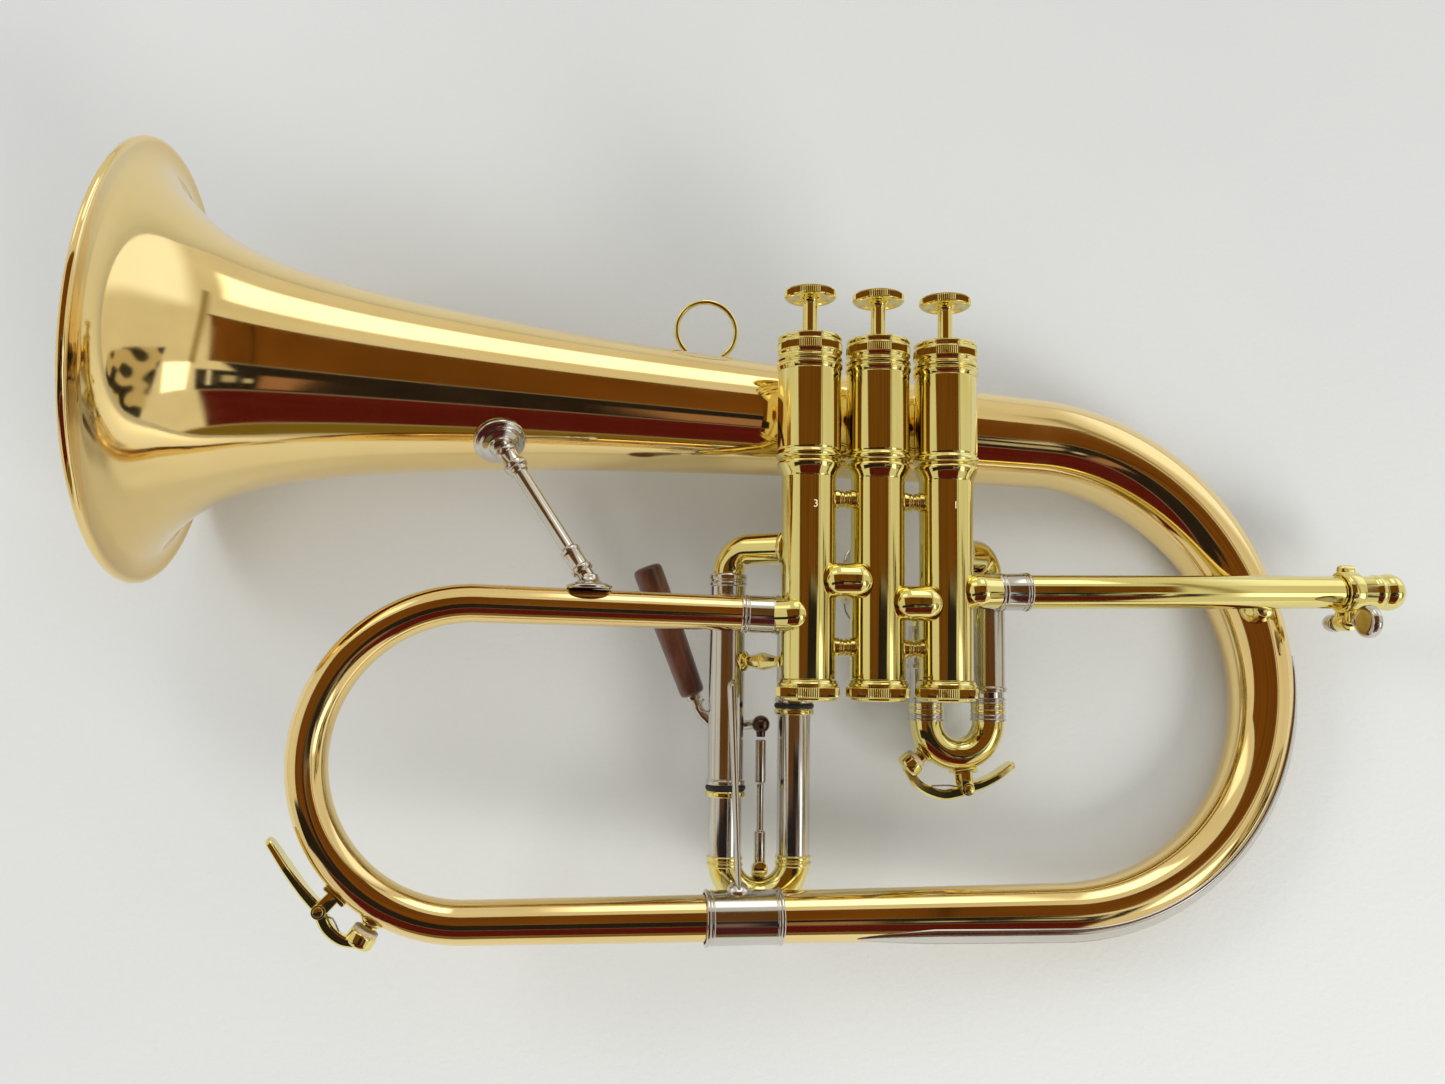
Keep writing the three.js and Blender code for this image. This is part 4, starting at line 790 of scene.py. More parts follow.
# --------------------------------------------------------------------------------------------
# Valves
# --------------------------------------------------------------------------------------------
def valve(number):
    x = valve_x(number)
    axis = V((x, 0, 0))
    tag = f"valve_{number}"
    u = UPPER_CASING
    Shape().turn(
        [
            (CASING - 0.8, CASING_FOOT), (CASING, CASING_FOOT), (CASING, SHOULDER_Y - 0.6),
            (CASING + 0.35, SHOULDER_Y + 0.3), (CASING + 1.05, SHOULDER_Y + 1.6),
            (u - 0.1, SHOULDER_Y + 2.9),
            (u + 0.1, SHOULDER_Y + 3.7), (u - 0.1, SHOULDER_Y + 4.4), (u - 0.75, SHOULDER_Y + 4.9),
            (u - 0.9, SHOULDER_Y + 5.2), (u - 0.3, SHOULDER_Y + 5.5), (u + 0.35, BALUSTER_Y - 0.2),
            (u + 0.5, BALUSTER_Y + 0.5), (u + 0.35, BALUSTER_Y + 1.2), (u - 0.1, BALUSTER_Y + 1.7),
            (u - 0.2, BALUSTER_Y + 2.1), (u, BALUSTER_Y + 2.7), (u, CASING_HEAD), (u - 0.9, CASING_HEAD),
            (u - 0.9, BALUSTER_Y), (CASING - 0.8, SHOULDER_Y),
        ],
        axis, Y, 96, 0.22,
    ).make(f"{tag}_case", YELLOW_BRASS, replaces=f"{tag}_casing", slot="yellow_brass")
    h = CASING_HEAD
    Shape().turn(
        [
            (8.6, h - 4), (u - 1.2, h - 4), (u - 1.2, h + 0.05), (u - 0.1, h + 0.05), (u + 0.1, h + 0.7),
            (u + 0.42, h + 1.3), (u + 0.42, h + 2.1), (u - 0.25, h + 2.7), (u - 0.25, h + 3.1),
            (u + 0.35, h + 3.6), (u + 0.35, h + 4.2), (u - 0.2, h + 4.8), (u - 0.3, h + 5.6),
            (CAP - 0.05, h + 6.3), (CAP, h + 6.5), (CAP, h + 6.8), (CAP - 0.02, h + 6.95),
            (CAP - 0.02, h + 9.3),
            (CAP, h + 9.45), (CAP, h + 9.6), (CAP - 0.05, h + 9.8),
            (CAP - 0.5, h + 10.1), (CAP - 0.5, h + 10.7), (CAP - 0.05, h + 11.2), (CAP - 0.1, h + 11.9),
            (CAP - 0.9, h + 12.4), (CAP - 2.2, h + 12.4), (CAP - 2.6, h + 12.0), (4.4, h + 11.8),
            (4.2, h + 12.3), (STEM + 0.4, h + 12.3), (STEM + 0.4, h + 10.4), (8.6, h + 10),
        ],
        axis, Y, 184, 0.16, teeth=(h + 6.9, h + 9.4, 0.34),
    ).make(f"{tag}_top_cap_turned", YELLOW_BRASS, replaces=f"{tag}_top_cap", slot="yellow_brass", sharp=25)
    f = BOTTOM_CAP_FOOT
    Shape().turn(
        [
            (7.6, f + 1.5), (7.6, f + 10), (CASING - 1.1, f + 10), (CASING - 1.1, f + 7),
            (CASING + 0.5, f + 7),
            (CASING + 0.7, f + 6.3), (BOTTOM_CAP - 0.5, f + 5.9), (BOTTOM_CAP - 0.4, f + 5.2),
            (BOTTOM_CAP - 0.8, f + 4.9), (BOTTOM_CAP, f + 4.5), (BOTTOM_CAP, f + 1.5),
            (BOTTOM_CAP - 0.7, f + 1.1), (BOTTOM_CAP - 0.9, f + 0.5), (BOTTOM_CAP - 1.6, f),
            (2.5, f), (2.5, f + 1.5),
        ],
        axis, Y, 176, 0.15, teeth=(f + 1.3, f + 4.6, 0.32),
    ).make(
        f"{tag}_bottom_cap_turned", YELLOW_BRASS, replaces=f"{tag}_bottom_cap", slot="yellow_brass", sharp=25
    )
    Shape().turn(
        [
            (0, -11), (7.2, -11), (7.2, -15), (8.25, -15), (8.25, 61.9), (7.4, 61.9), (7.4, 38),
            (1.0, 38), (1.0, BUTTON_Y - 0.6), (0, BUTTON_Y - 0.6),
        ],
        axis, Y, 56, 0.2,
    ).make(f"{tag}_piston_turned", NICKEL, body=tag, replaces=f"{tag}_piston", slot="nickel_silver")
    Shape().turn(
        [
            (0, 39), (STEM, 39), (STEM, BUTTON_Y - 1.6), (STEM + 0.35, BUTTON_Y - 1.2),
            (STEM + 0.35, BUTTON_Y - 0.5), (0, BUTTON_Y),
        ],
        axis, Y, 48, 0.2,
    ).make(f"{tag}_stem", YELLOW_BRASS, body=tag, slot="yellow_brass")
    r = 9.0
    b = BUTTON_Y
    Shape().turn(
        [
            (0, b - 0.9), (STEM + 0.3, b - 0.9), (STEM + 0.5, b - 0.2),
            (STEM + 1.4, b + 0.35), (5.6, b + 0.6),
            (6.9, b + 0.1), (7.8, b + 0.0), (8.5, b + 0.25), (r - 0.08, b + 0.7), (r, b + 1.0),
            (r, b + 2.6), (r - 0.08, b + 2.9), (8.5, b + 3.35), (7.6, b + 3.6), (6.9, b + 3.3),
            (3.5, b + 2.9), (0, b + 2.7),
        ],
        axis, Y, 144, 0.14, teeth=(b + 0.65, b + 2.95, 0.36),
    ).make(
        f"{tag}_button_turned", YELLOW_BRASS, body=tag, replaces=f"{tag}_button", slot="yellow_brass", sharp=25
    )
    if number != 2:
        # The raised numerals take the pale material, a painted highlight for the light caught by the engraving.
        text = bpy.data.curves.new(f"numeral_{number}", "FONT")
        text.body = str(number)
        text.size = 3.6 * MM
        text.extrude = 0.04 * MM
        text.align_x = "CENTER"
        text.materials.append(ENGRAVED_PAINTED_GLINT)
        thing = bpy.data.objects.new(f"numeral_{number}", text)
        bpy.context.scene.collection.objects.link(thing)
        spot = HORN @ V((x + 0.3, 25.2 if number == 3 else 26.2, CASING + 0.02))
        thing.matrix_world = Matrix.Translation(spot) @ TURN.to_4x4()
        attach(thing, "horn")


for number in (1, 2, 3):
    valve(number)


# --------------------------------------------------------------------------------------------
# Between the valves
# --------------------------------------------------------------------------------------------
def crossover(name, right, left, y):
    middle = (valve_x(right) + valve_x(left)) / 2
    z = 6.3
    r, half = 6.05, 8.8
    caps = [(r * math.sin(a), -half + r - r * math.cos(a)) for a in np.linspace(0, math.pi / 2, 12)]
    caps[0] = (0, -half)
    outline = caps + [(q, -h) for q, h in reversed(caps)]
    shape = Shape().turn(outline, V((middle, y, z)), X, 64, 0)
    shape.make(f"{name}_knuckle", YELLOW_BRASS, replaces=name, slot="yellow_brass", sharp=50)


crossover("crossover_1_2", 1, 2, -6.3)
crossover("crossover_2_3", 2, 3, 0.9)


def spacer(name, right, y, replaces=()):
    middle = valve_x(right) - SPACING / 2
    half = SPACING / 2 - CASING + 0.7
    Shape().turn(
        [
            (0, -half), (3.3, -half), (3.3, -1.9), (2.6, -1.7), (2.6, -1.5), (3.0, -1.3),
            (3.0, -0.6), (2.5, -0.4),
            (2.5, 0.4), (3.0, 0.6), (3.0, 1.3), (2.6, 1.5), (2.6, 1.7), (3.3, 1.9), (3.3, half), (0, half),
        ],
        V((middle, y, 0.6)), X, 44, 0.15,
    ).make(name, YELLOW_BRASS, replaces=replaces, slot="yellow_brass")


spacer("upper_spacer_1", 1, 28.9, "casing_spacer_1")
spacer("upper_spacer_2", 2, 29.1, "casing_spacer_2")
spacer("lower_spacer_1", 1, -21.6)
spacer("lower_spacer_2", 2, -21.4)


# --------------------------------------------------------------------------------------------
# Slides
# --------------------------------------------------------------------------------------------
def port_elbow(name, number, leg_x, y, bend, shown):
    start_ = V((valve_x(number), y, 0))
    leg = V((leg_x, y, SLIDE_Z))
    heading = (leg - start_).normalized()
    route = Route(start_, heading, -Y, [("line", (leg - start_).length - bend), ("arc", bend, 90), ("line", 0.4)])
    shape = Shape().pipe(route, 0, route.total, ELBOW, 0.6, 44, 5.0)
    at = start_ + heading * (CASING - 0.5)
    shape.turn([(0, -1), (6.4, -1), (6.3, 0.2), (5.5, 1.2), (0, 1.2)], at, heading, 44, 0.4)
    shape.make(name + "_tube", YELLOW_BRASS, replaces=shown, slot="yellow_brass", sharp=50)


port_elbow("first_slide_elbow", 1, FIRST_LEGS[1], ELBOW_Y, 8.6, "first_slide_elbow")
port_elbow("first_slide_port", 1, FIRST_LEGS[0], PORT_Y, 6.6, "first_slide_port")
port_elbow("third_slide_elbow", 3, THIRD_LEGS[0], ELBOW_Y, 8.6, "third_slide_elbow")
port_elbow("third_slide_port", 3, THIRD_LEGS[1], PORT_Y, 6.6, "third_slide_port")


def leg_sleeve(name, x, top, foot, collar=True):
    """A slide's outer tube: a ring at its mouth, and a collar where it meets its elbow."""
    r = SLEEVE
    outline = [
        (SLIDE + 0.12, foot), (r + 0.35, foot), (r + 0.62, foot + 0.4), (r + 0.62, foot + 1.5),
        (r + 0.3, foot + 1.9), (r, foot + 2.1),
    ]
    if collar:
        outline += [(r, top - 4.4), (r + 0.45, top - 4.1), (r + 0.45, top - 3.2), (r + 0.1, top - 2.9)]
        outline += [(r + 0.1, top - 2.3), (r + 0.45, top - 2.0), (r + 0.45, top - 0.6), (r, top)]
    else:
        outline += [(r, top)]
    outline += [(SLIDE + 0.12, top)]
    Shape().turn(outline, V((x, 0, SLIDE_Z)), Y, 56, 0.15).make(
        name + "_tube", NICKEL, replaces=name, slot="nickel_silver"
    )


ELBOW_FOOT = ELBOW_Y - 8.6
leg_sleeve("first_slide_right_sleeve", FIRST_LEGS[1], ELBOW_FOOT + 0.2, -36.5)
leg_sleeve("first_slide_left_sleeve", FIRST_LEGS[0], PORT_Y - 6.4, -28.5, False)
leg_sleeve("third_slide_left_sleeve", THIRD_LEGS[0], ELBOW_FOOT + 0.2, -69.2)
leg_sleeve("third_slide_right_sleeve", THIRD_LEGS[1], PORT_Y - 6.4, -41.0, False)


def slide_ferrules(name, legs, foot, head, body_):
    """The nickel ferrules between a slide's legs and its crook."""
    for tag, x in zip(("left", "right"), legs):
        r = SLIDE + 0.35
        Shape().turn(
            [(SLIDE - 0.3, foot), (r + 0.35, foot), (r + 0.35, foot + 0.7), (r, foot + 1.0),
             (r, foot + 1.5),
             (r + 0.25, foot + 1.7), (r + 0.25, foot + 2.1), (r, foot + 2.4), (r, head - 2.4),
             (r + 0.25, head - 2.1),
             (r + 0.25, head - 1.7), (r, head - 1.5), (r, head - 1.0), (r + 0.4, head - 0.7),
             (r + 0.4, head),
             (SLIDE - 0.3, head)],
            V((x, 0, SLIDE_Z)), Y, 56, 0.12,
        ).make(f"{name}_ferrule_{tag}", NICKEL, body=body_, slot="nickel_silver")


def ringed_crook(legs, y, bodies, name, replaces, slot, inner_top, ring_y, material):
    """The nickel legs of a moving slide and its brass crook, with a ring where they join."""
    radius = (legs[1] - legs[0]) / 2
    straight = ("line", ring_y - y)
    crook = Route(V((legs[0], ring_y, SLIDE_Z)), -Y, X, [straight, ("arc", radius, 180), straight])
    shape = Shape().pipe(crook, 0, crook.total, SLIDE, 0.7, 48, 5.0)
    for x in legs:
        shape.turn(
            [(0, -2.4), (SLIDE + 0.3, -2.4), (SLIDE + 0.55, -2.0), (SLIDE + 0.55, -1.1),
             (SLIDE + 0.1, -0.8),
             (SLIDE + 0.1, -0.3), (SLIDE + 0.5, 0), (SLIDE + 0.5, 1.0), (SLIDE + 0.1, 1.4), (0, 1.4)],
            V((x, ring_y, SLIDE_Z)), Y, 48, 0.15,
        )
    shape.make(name + "_crook", material, body=bodies, replaces=replaces, slot=slot, sharp=40)
    for x, top, tag in ((legs[0], inner_top[0], "left"), (legs[1], inner_top[1], "right")):
        Shape().turn(
            [(SLIDE - 0.6, ring_y + 1), (SLIDE, ring_y + 1), (SLIDE, top), (SLIDE - 0.6, top)],
            V((x, 0, SLIDE_Z)), Y, 48, 0.1,
        ).make(f"{name}_{tag}_leg", NICKEL, body=bodies, slot="nickel_silver")


ringed_crook(
    FIRST_LEGS, CROOK_1_Y, "first_slide", "first_slide_moving", "first_slide", "yellow_brass",
    (-14.8, -8), -41.6, YELLOW_BRASS,
)
slide_ferrules("first_slide", FIRST_LEGS, CROOK_1_Y + 0.4, CROOK_1_Y + 8.6, "first_slide")
ringed_crook(
    THIRD_LEGS, CROOK_3_Y, "third_slide", "third_slide_moving", "third_slide", "yellow_brass",
    (-26, -18), -94.4, YELLOW_BRASS,
)

# Bumper rings on the third slide's legs, black against the mouths of the sleeves.
for tag, x, y in (("left", THIRD_LEGS[0], -69.2), ("right", THIRD_LEGS[1], -41.0)):
    low = y - 1.9 if tag == "left" else y - 0.05
    Shape().turn(
        [(SLIDE, -1.7), (SLIDE + 1.0, -1.7), (SLIDE + 1.3, -0.9), (SLIDE + 1.0, -0.1), (SLIDE, -0.1)],
        V((x, y, SLIDE_Z)), Y, 48, 0.3,
    ).make(f"bumper_{tag}", BLACK_RUBBER, body="third_slide")
    Shape().turn(
        [
            (SLIDE, -4.0), (SLIDE + 0.9, -4.0), (SLIDE + 1.25, -3.5),
            (SLIDE + 1.25, -2.3), (SLIDE + 0.9, -1.8), (SLIDE, -1.8),
        ],
        V((x, y, SLIDE_Z)), Y, 48, 0.2,
    ).make(f"bumper_ring_{tag}", YELLOW_BRASS, body="third_slide", slot="yellow_brass")

# The second slide, behind the middle casing.
second_y = (1.6 - 7.8, 1.6 + 7.8)
shape = Shape()
for y in second_y:
    shape.turn(
        [(5.3, 8), (6.0, 8), (6.0, 20.6), (6.5, 21.0), (6.5, 22.6), (6.1, 23), (5.3, 23)],
        V((0, y, 0)), -Z, 48, 0.15,
    )
shape.block(V((0, 1.6, -16)), (2.2, 5, 6), bevel=0.6)
shape.make("second_slide_sleeve_pair", NICKEL, replaces="second_slide_sleeves", slot="nickel_silver")
second = Route(V((0, second_y[0], -13)), -Z, Y, [("line", 12), ("arc", 7.8, 180), ("line", 12)])
Shape().pipe(second, 0, second.total, 5.1, 0.6, 44, 5.0).make(
    "second_slide_crook", YELLOW_BRASS, body="second_slide", replaces="second_slide", slot="yellow_brass", sharp=50
)


# --------------------------------------------------------------------------------------------
# Braces and the finger ring
# --------------------------------------------------------------------------------------------
bell_foot = V((-129.5, 47.0, -14.5))
bow_foot = V((-98.5, -1.0, 1))
along = (bow_foot - bell_foot).normalized()
length = (bow_foot - bell_foot).length
brace = Shape().turn(
    [(0, 0), (2.9, 0), (2.9, 3.4), (3.9, 3.8), (3.9, 5.2), (3.3, 5.7), (3.3, 9.4), (4.1, 9.8), (4.1, 11.6),
     (3.2, 12.0), (3.2, 13.4), (2.5, 13.9), (2.5, length - 13.4), (3.4, length - 12.8),
     (3.4, length - 11.4),
     (3.1, length - 11.0), (3.1, length - 5.8), (3.7, length - 5.4), (3.7, length - 4.0),
     (2.9, length - 3.4),
     (2.8, length), (0, length)],
    bell_foot, along, 44, 0.25,
)
bell_down = V((0.2, -0.72, 0.68))
brace.turn(
    [
        (0, -3.0), (8.6, -3.0), (9.1, -1.4), (8.8, -0.5), (7.2, 0.1),
        (6.4, 0.9), (4.2, 1.3), (3.6, 2.6), (2.4, 3.4), (0, 3.8),
    ],
    bell_foot + bell_down * 1.0, bell_down, 48, 0.5,
)
brace.turn(
    [(0, -2.6), (7.4, -2.6), (7.7, -1.5), (6.4, -0.9), (4.2, -0.2), (3.2, 0.8), (2.8, 2.4), (0, 2.8)],
    bow_foot, Y, 44, 0.5,
)
brace.make("bell_brace_post", NICKEL, replaces="bell_brace", slot="nickel_silver", sharp=40)

ring_centre = V((-56, 95.6, -35))
ring = Shape()
rings = []
for i in range(96):
    a = 2 * math.pi * i / 96
    out = V((math.cos(a), math.sin(a), 0))
    rings.append(circle(ring_centre + out * 11.1, out, Z, 0.95, 16))
ring.grid(rings, True)
ring.turn(
    [(0, -2.2), (5.4, -2.2), (6.4, -1.4), (5.8, -0.7), (3.2, 0.2), (1.4, 1.4), (0, 1.8)],
    ring_centre + V((0.4, -12.2, 0.8)), V((0, 1, 0.12)), 40, 0.4,
)
ring.make("finger_ring_wire", YELLOW_BRASS, replaces="finger_ring", slot="yellow_brass", sharp=40)

# The faceted post between the third slide's sleeve and its casing.
post_from = V((THIRD_LEGS[0] + SLEEVE - 1, -26.6, SLIDE_Z + 4))
post_to = V((valve_x(3) - CASING + 1.2, -26.6, -2.5))
post_len = (post_to - post_from).length
Shape().turn(
    [(0, -0.6), (3.4, -0.6), (3.4, 0.9), (1.9, 1.6), (1.9, 2.4), (3.0, post_len / 2 - 0.6),
     (3.0, post_len / 2 + 0.6),
     (1.8, post_len - 2.4), (1.8, post_len - 1.6), (2.5, post_len - 1.0), (2.5, post_len), (0, post_len)],
    post_from, post_to - post_from, 8, 0.12,
).make("slide_brace_post", YELLOW_BRASS, replaces="third_slide_brace", slot="yellow_brass", sharp=20)

# The stay from the third slide's sleeve down to the bell ferrule.
stay_top = V((-48.6, -35.5, SLIDE_Z + SLEEVE + 1.0))
stay_foot = V((-47.4, LOWER_Y + 9.6, 1.6))
stay = Shape().rod(
    [stay_top, stay_top.lerp(stay_foot, 0.2), stay_top.lerp(stay_foot, 0.6), stay_foot],
    [3.3, 3.1, 2.7, 2.3, 2.0, 1.9], 24, 8, 0.5,
)
stay.turn(
    [(0, -2.0), (3.4, -2.0), (3.6, -1.2), (3.2, 0.2), (2.0, 0.9), (0, 1.2)],
    stay_foot, V((0, 0.75, 0.66)), 32, 0.3,
)
stay.make("slide_stay_rod", NICKEL, replaces="slide_stay", slot="nickel_silver", sharp=40)


# --------------------------------------------------------------------------------------------
# Trigger
# --------------------------------------------------------------------------------------------
BALL = V((-36.8, -48.5, -18.6))
HANDLE_TOP = V((-77, 6.3, -30))
HANDLE_FOOT = V((-59.4, -38.9, -30))
p = TRIGGER_PIVOT
bracket = Shape().block(V((THIRD_LEGS[0] + 0.5, p.y, SLIDE_Z - SLEEVE - 1.4)), (6, 9, 3.4), bevel=1.0)
bracket.turn(
    [(0, -33), (2.5, -33), (2.6, -31.2), (1.5, -30.8), (1.5, -24), (0, -24)],
    V((p.x, p.y, 0)), Z, 28, 0.25,
)
bracket.make("trigger_bracket_block", NICKEL, replaces="trigger_bracket", slot="nickel_silver")

lever = Shape().rod(
    [HANDLE_FOOT.lerp(HANDLE_TOP, 0.25), HANDLE_FOOT, V((-57.2, -44, p.z - 1.0)), V((-53.6, -48.2, p.z)), p],
    1.75, 24, 8,
)
lever.rod([p, V((-42, -49.4, p.z + 0.8)), V((-37.9, -48.8, p.z + 4.8)), BALL], 1.7, 24, 8)
lever.turn([(1.8, -2), (3.4, -2), (3.4, 2), (1.8, 2)], p, Z, 36, 0.3)
lever.make("trigger_lever_rod", NICKEL, body="trigger", replaces="trigger_lever", slot="nickel_silver")
ball = Shape().ball(BALL, 3.1)
ball.turn([(0, -4.4), (1.5, -4.4), (1.7, -2.4), (0, -2)], BALL, Y, 28, 0.2)
ball.make("trigger_ball", DARK_STEEL, body="trigger")

hl = (HANDLE_FOOT - HANDLE_TOP).length
Shape().turn(
    [(0, -0.5), (3.6, -0.3), (4.9, 0.4), (5.25, 1.4), (5.3, 3), (5.15, hl * 0.35),
     (4.75, hl * 0.7), (4.45, hl - 1.6),
     (4.1, hl - 0.5), (3.0, hl), (0, hl)],
    HANDLE_TOP, HANDLE_FOOT - HANDLE_TOP, 56, 0.8,
).make("trigger_handle_grip", WALNUT, body="trigger", replaces="trigger_handle", slot="walnut")
Shape().turn(
    [(0, hl - 0.2), (2.7, hl - 0.2), (2.7, hl + 1.8),
     (0, hl + 2.2)], HANDLE_TOP, HANDLE_FOOT - HANDLE_TOP, 32, 0.3
).make("trigger_handle_collar", NICKEL, body="trigger", slot="nickel_silver")

link_foot = V((BALL.x, CROOK_3_Y - 2.9, BALL.z))
top = BALL.y - 4.9
link = Shape().turn(
    [(0, 1.5), (2.0, 1.5), (2.0, 12.4), (1.25, 13.0), (1.25, top - link_foot.y - 15.6),
     (1.9, top - link_foot.y - 15),
     (1.9, top - link_foot.y - 0.8), (1.6, top - link_foot.y - 0.4), (0, top - link_foot.y - 0.4)],
    link_foot, Y, 32, 0.3,
)
link.turn([(1.3, -1.4), (2.7, -1.4), (2.7, 1.4), (1.3, 1.4)], link_foot, Z, 32, 0.25)
link.make("trigger_link_rod", NICKEL, body="trigger_link", replaces="trigger_link", slot="nickel_silver")
stud = Shape().turn(
    [(0, -4), (1.2, -4), (1.2, 1.6), (2.6, 1.8), (2.6, 2.5), (0, 2.8)],
    link_foot, Z, 32, 0.2,
)
stud.block(link_foot + V((0, -2.4, -2.8)), (4.8, 6.6, 1.7), bevel=0.6)
stud.make("link_stud_head", YELLOW_BRASS, body="third_slide", slot="yellow_brass")

# The wire loop by the trigger's rod, soldered to the sleeve.
Shape().rod(
    [
        V((-57.0, -40.2, SLIDE_Z - 3)), V((-58.0, -41.6, SLIDE_Z - 2)),
        V((-58.1, -43.6, SLIDE_Z - 2)), V((-55.0, -44.6, SLIDE_Z - 3)),
    ],
    0.45, 12, 6,
).make("trigger_stop_wire", NICKEL, slot="nickel_silver")


# --------------------------------------------------------------------------------------------
# Water keys
# --------------------------------------------------------------------------------------------
def water_key(name, centre, bow_radius, tube_radius, nipple, pivot, tip, body, lever_body):
    surface = bow_radius + tube_radius

    def place(angle, height, z=0.0):
        a = math.radians(angle)
        return centre + V(((surface + height) * math.cos(a), (surface + height) * math.sin(a), z))

    def out(angle):
        return V((math.cos(math.radians(angle)), math.sin(math.radians(angle)), 0))

    def mid(a, b, share):
        return a + (b - a) * share

    hinge = place(pivot, 6.4)
    lever_ = Shape()
    lever_.strap(
        [place(nipple, 7.6), place(mid(nipple, pivot, 0.3), 9.2), place(mid(nipple, pivot, 0.62), 9.0),
         place(mid(nipple, pivot, 0.85), 7.6), hinge],
        [1.9, 2.1, 2.2, 2.3], [1.3, 1.7, 1.9, 2.0],
    )
    lever_.strap(
        [hinge, place(mid(pivot, tip, 0.3), 6.2), place(mid(pivot, tip, 0.65), 6.4), place(tip, 7.6),
         place(mid(pivot, tip, 1.06), 8.4)],
        [2.3, 3.0, 3.8, 3.2, 1.4], [1.8, 1.5, 1.2, 1.0, 0.7],
    )
    lever_.turn(
        [(0, 3.6), (4.1, 3.6), (4.5, 4.2), (4.5, 7.2), (3.9, 8.2), (0, 8.6)],
        place(nipple, 0), out(nipple), 44, 0.5,
    )
    lever_.turn([(0, -2.3), (2.3, -2.3), (2.3, 2.3), (0, 2.3)], hinge, Z, 32, 0.3)
    lever_.make(
        f"{name}_lever", YELLOW_BRASS, body=lever_body, replaces=name, slot="yellow_brass", sharp=40
    )
    Shape().turn(
        [(0, 2.4), (3.9, 2.4), (4.1, 2.8), (4.1, 4.2), (0, 4.2)], place(nipple, 0), out(nipple), 36, 0.2
    ).make(f"{name}_cork", CORK, body=lever_body)
    Shape().turn(
        [(1.2, -0.8), (4.2, -0.8), (3.9, 0.1), (2.9, 0.6), (2.6, 2.3), (1.2, 2.3)],
        place(nipple, 0), out(nipple), 36, 0.25,
    ).make(f"{name}_nipple", YELLOW_BRASS, body=body, slot="yellow_brass")
    saddle = Shape()
    axes = (out(pivot + 90), out(pivot), Z)
    for sign in (-1, 1):
        saddle.block(place(pivot, 3.6, sign * 3.15), (4.4, 8.0, 0.9), axes, bevel=0.4)
        saddle.turn(
            [(0, -0.5), (2.3, -0.5), (2.3, 0.5), (0, 0.5)],
            place(pivot, 6.4, sign * 3.15), Z, 32, 0.2,
        )
    saddle.block(place(pivot, -0.1), (8.6, 1.8, 7.2), axes, bevel=0.6)
    saddle.turn(
        [(0, -4.3), (0.9, -4.3), (1.5, -3.6), (1.5, -3.4), (1.0, -3.3), (1.0, 3.4), (1.6, 3.5), (1.6, 4.2),
         (0, 4.4)],
        hinge, Z, 24, 0.15,
    )
    saddle.make(
        f"{name}_saddle_plate", YELLOW_BRASS, body=body, replaces=f"{name}_saddle", slot="yellow_brass"
    )
    # The wire spring that closes the key.
    coil = [
        hinge + axes[0] * (1.9 * math.cos(t)) + axes[1] * (1.9 * math.sin(t)) + Z * (2.5 + 0.12 * t / math.pi - 0.25)
        for t in np.linspace(0, 4 * math.pi, 25)
    ]
    tail = [place(mid(pivot, nipple, 0.3), 5.2, 2.2), place(mid(pivot, nipple, 0.55), 7.2, 1.4)]
    Shape().rod(coil + tail, 0.28, 8, 2).make(f"{name}_spring", SPRING_STEEL, body=lever_body)


water_key(
    "bow_water_key", V((FRONT_BOW_X, LOWER_Y + FRONT_BOW_RADIUS, 0)), FRONT_BOW_RADIUS,
    front_radius(front_route.legs[1][4] + 40), 240, 226, 203, "horn", "bow_water_key",
)
water_key(
    "slide_water_key", V(((FIRST_LEGS[0] + FIRST_LEGS[1]) / 2, CROOK_1_Y, SLIDE_Z)), 11.6, SLIDE,
    221, 277, 322, "first_slide", "slide_water_key",
)

# --------------------------------------------------------------------------------------------
# Floor, light and camera
# --------------------------------------------------------------------------------------------
lo, hi = cad_box
centre = Vector(((lo[0] + hi[0]) / 2, (lo[1] + hi[1]) / 2, 0))


def floor():
    n = Nodes("table")
    cloud = n.noise(3.0, 4)
    n.link(n.ramp(cloud, [(0.3, (0.690, 0.700, 0.690)), (0.7, (0.730, 0.738, 0.722))]), "Base Color")
    grain = n.noise(420, 3, rough=0.6)
    n.link(n.span(grain, 0.5, 0.65), "Roughness")
    n.bump(grain, 0.25, 0.0006)
    n.shader.inputs["Specular IOR Level"].default_value = 0.2
    mesh = bpy.data.meshes.new("floor")
    size = 6.0
    corners = [(-size, -size, 0), (size, -size, 0), (size, size, 0), (-size, size, 0)]
    mesh.from_pydata(corners, [], [(0, 1, 2, 3)])
    mesh.materials.append(n.mat)
    thing = bpy.data.objects.new("floor", mesh)
    bpy.context.scene.collection.objects.link(thing)


floor()


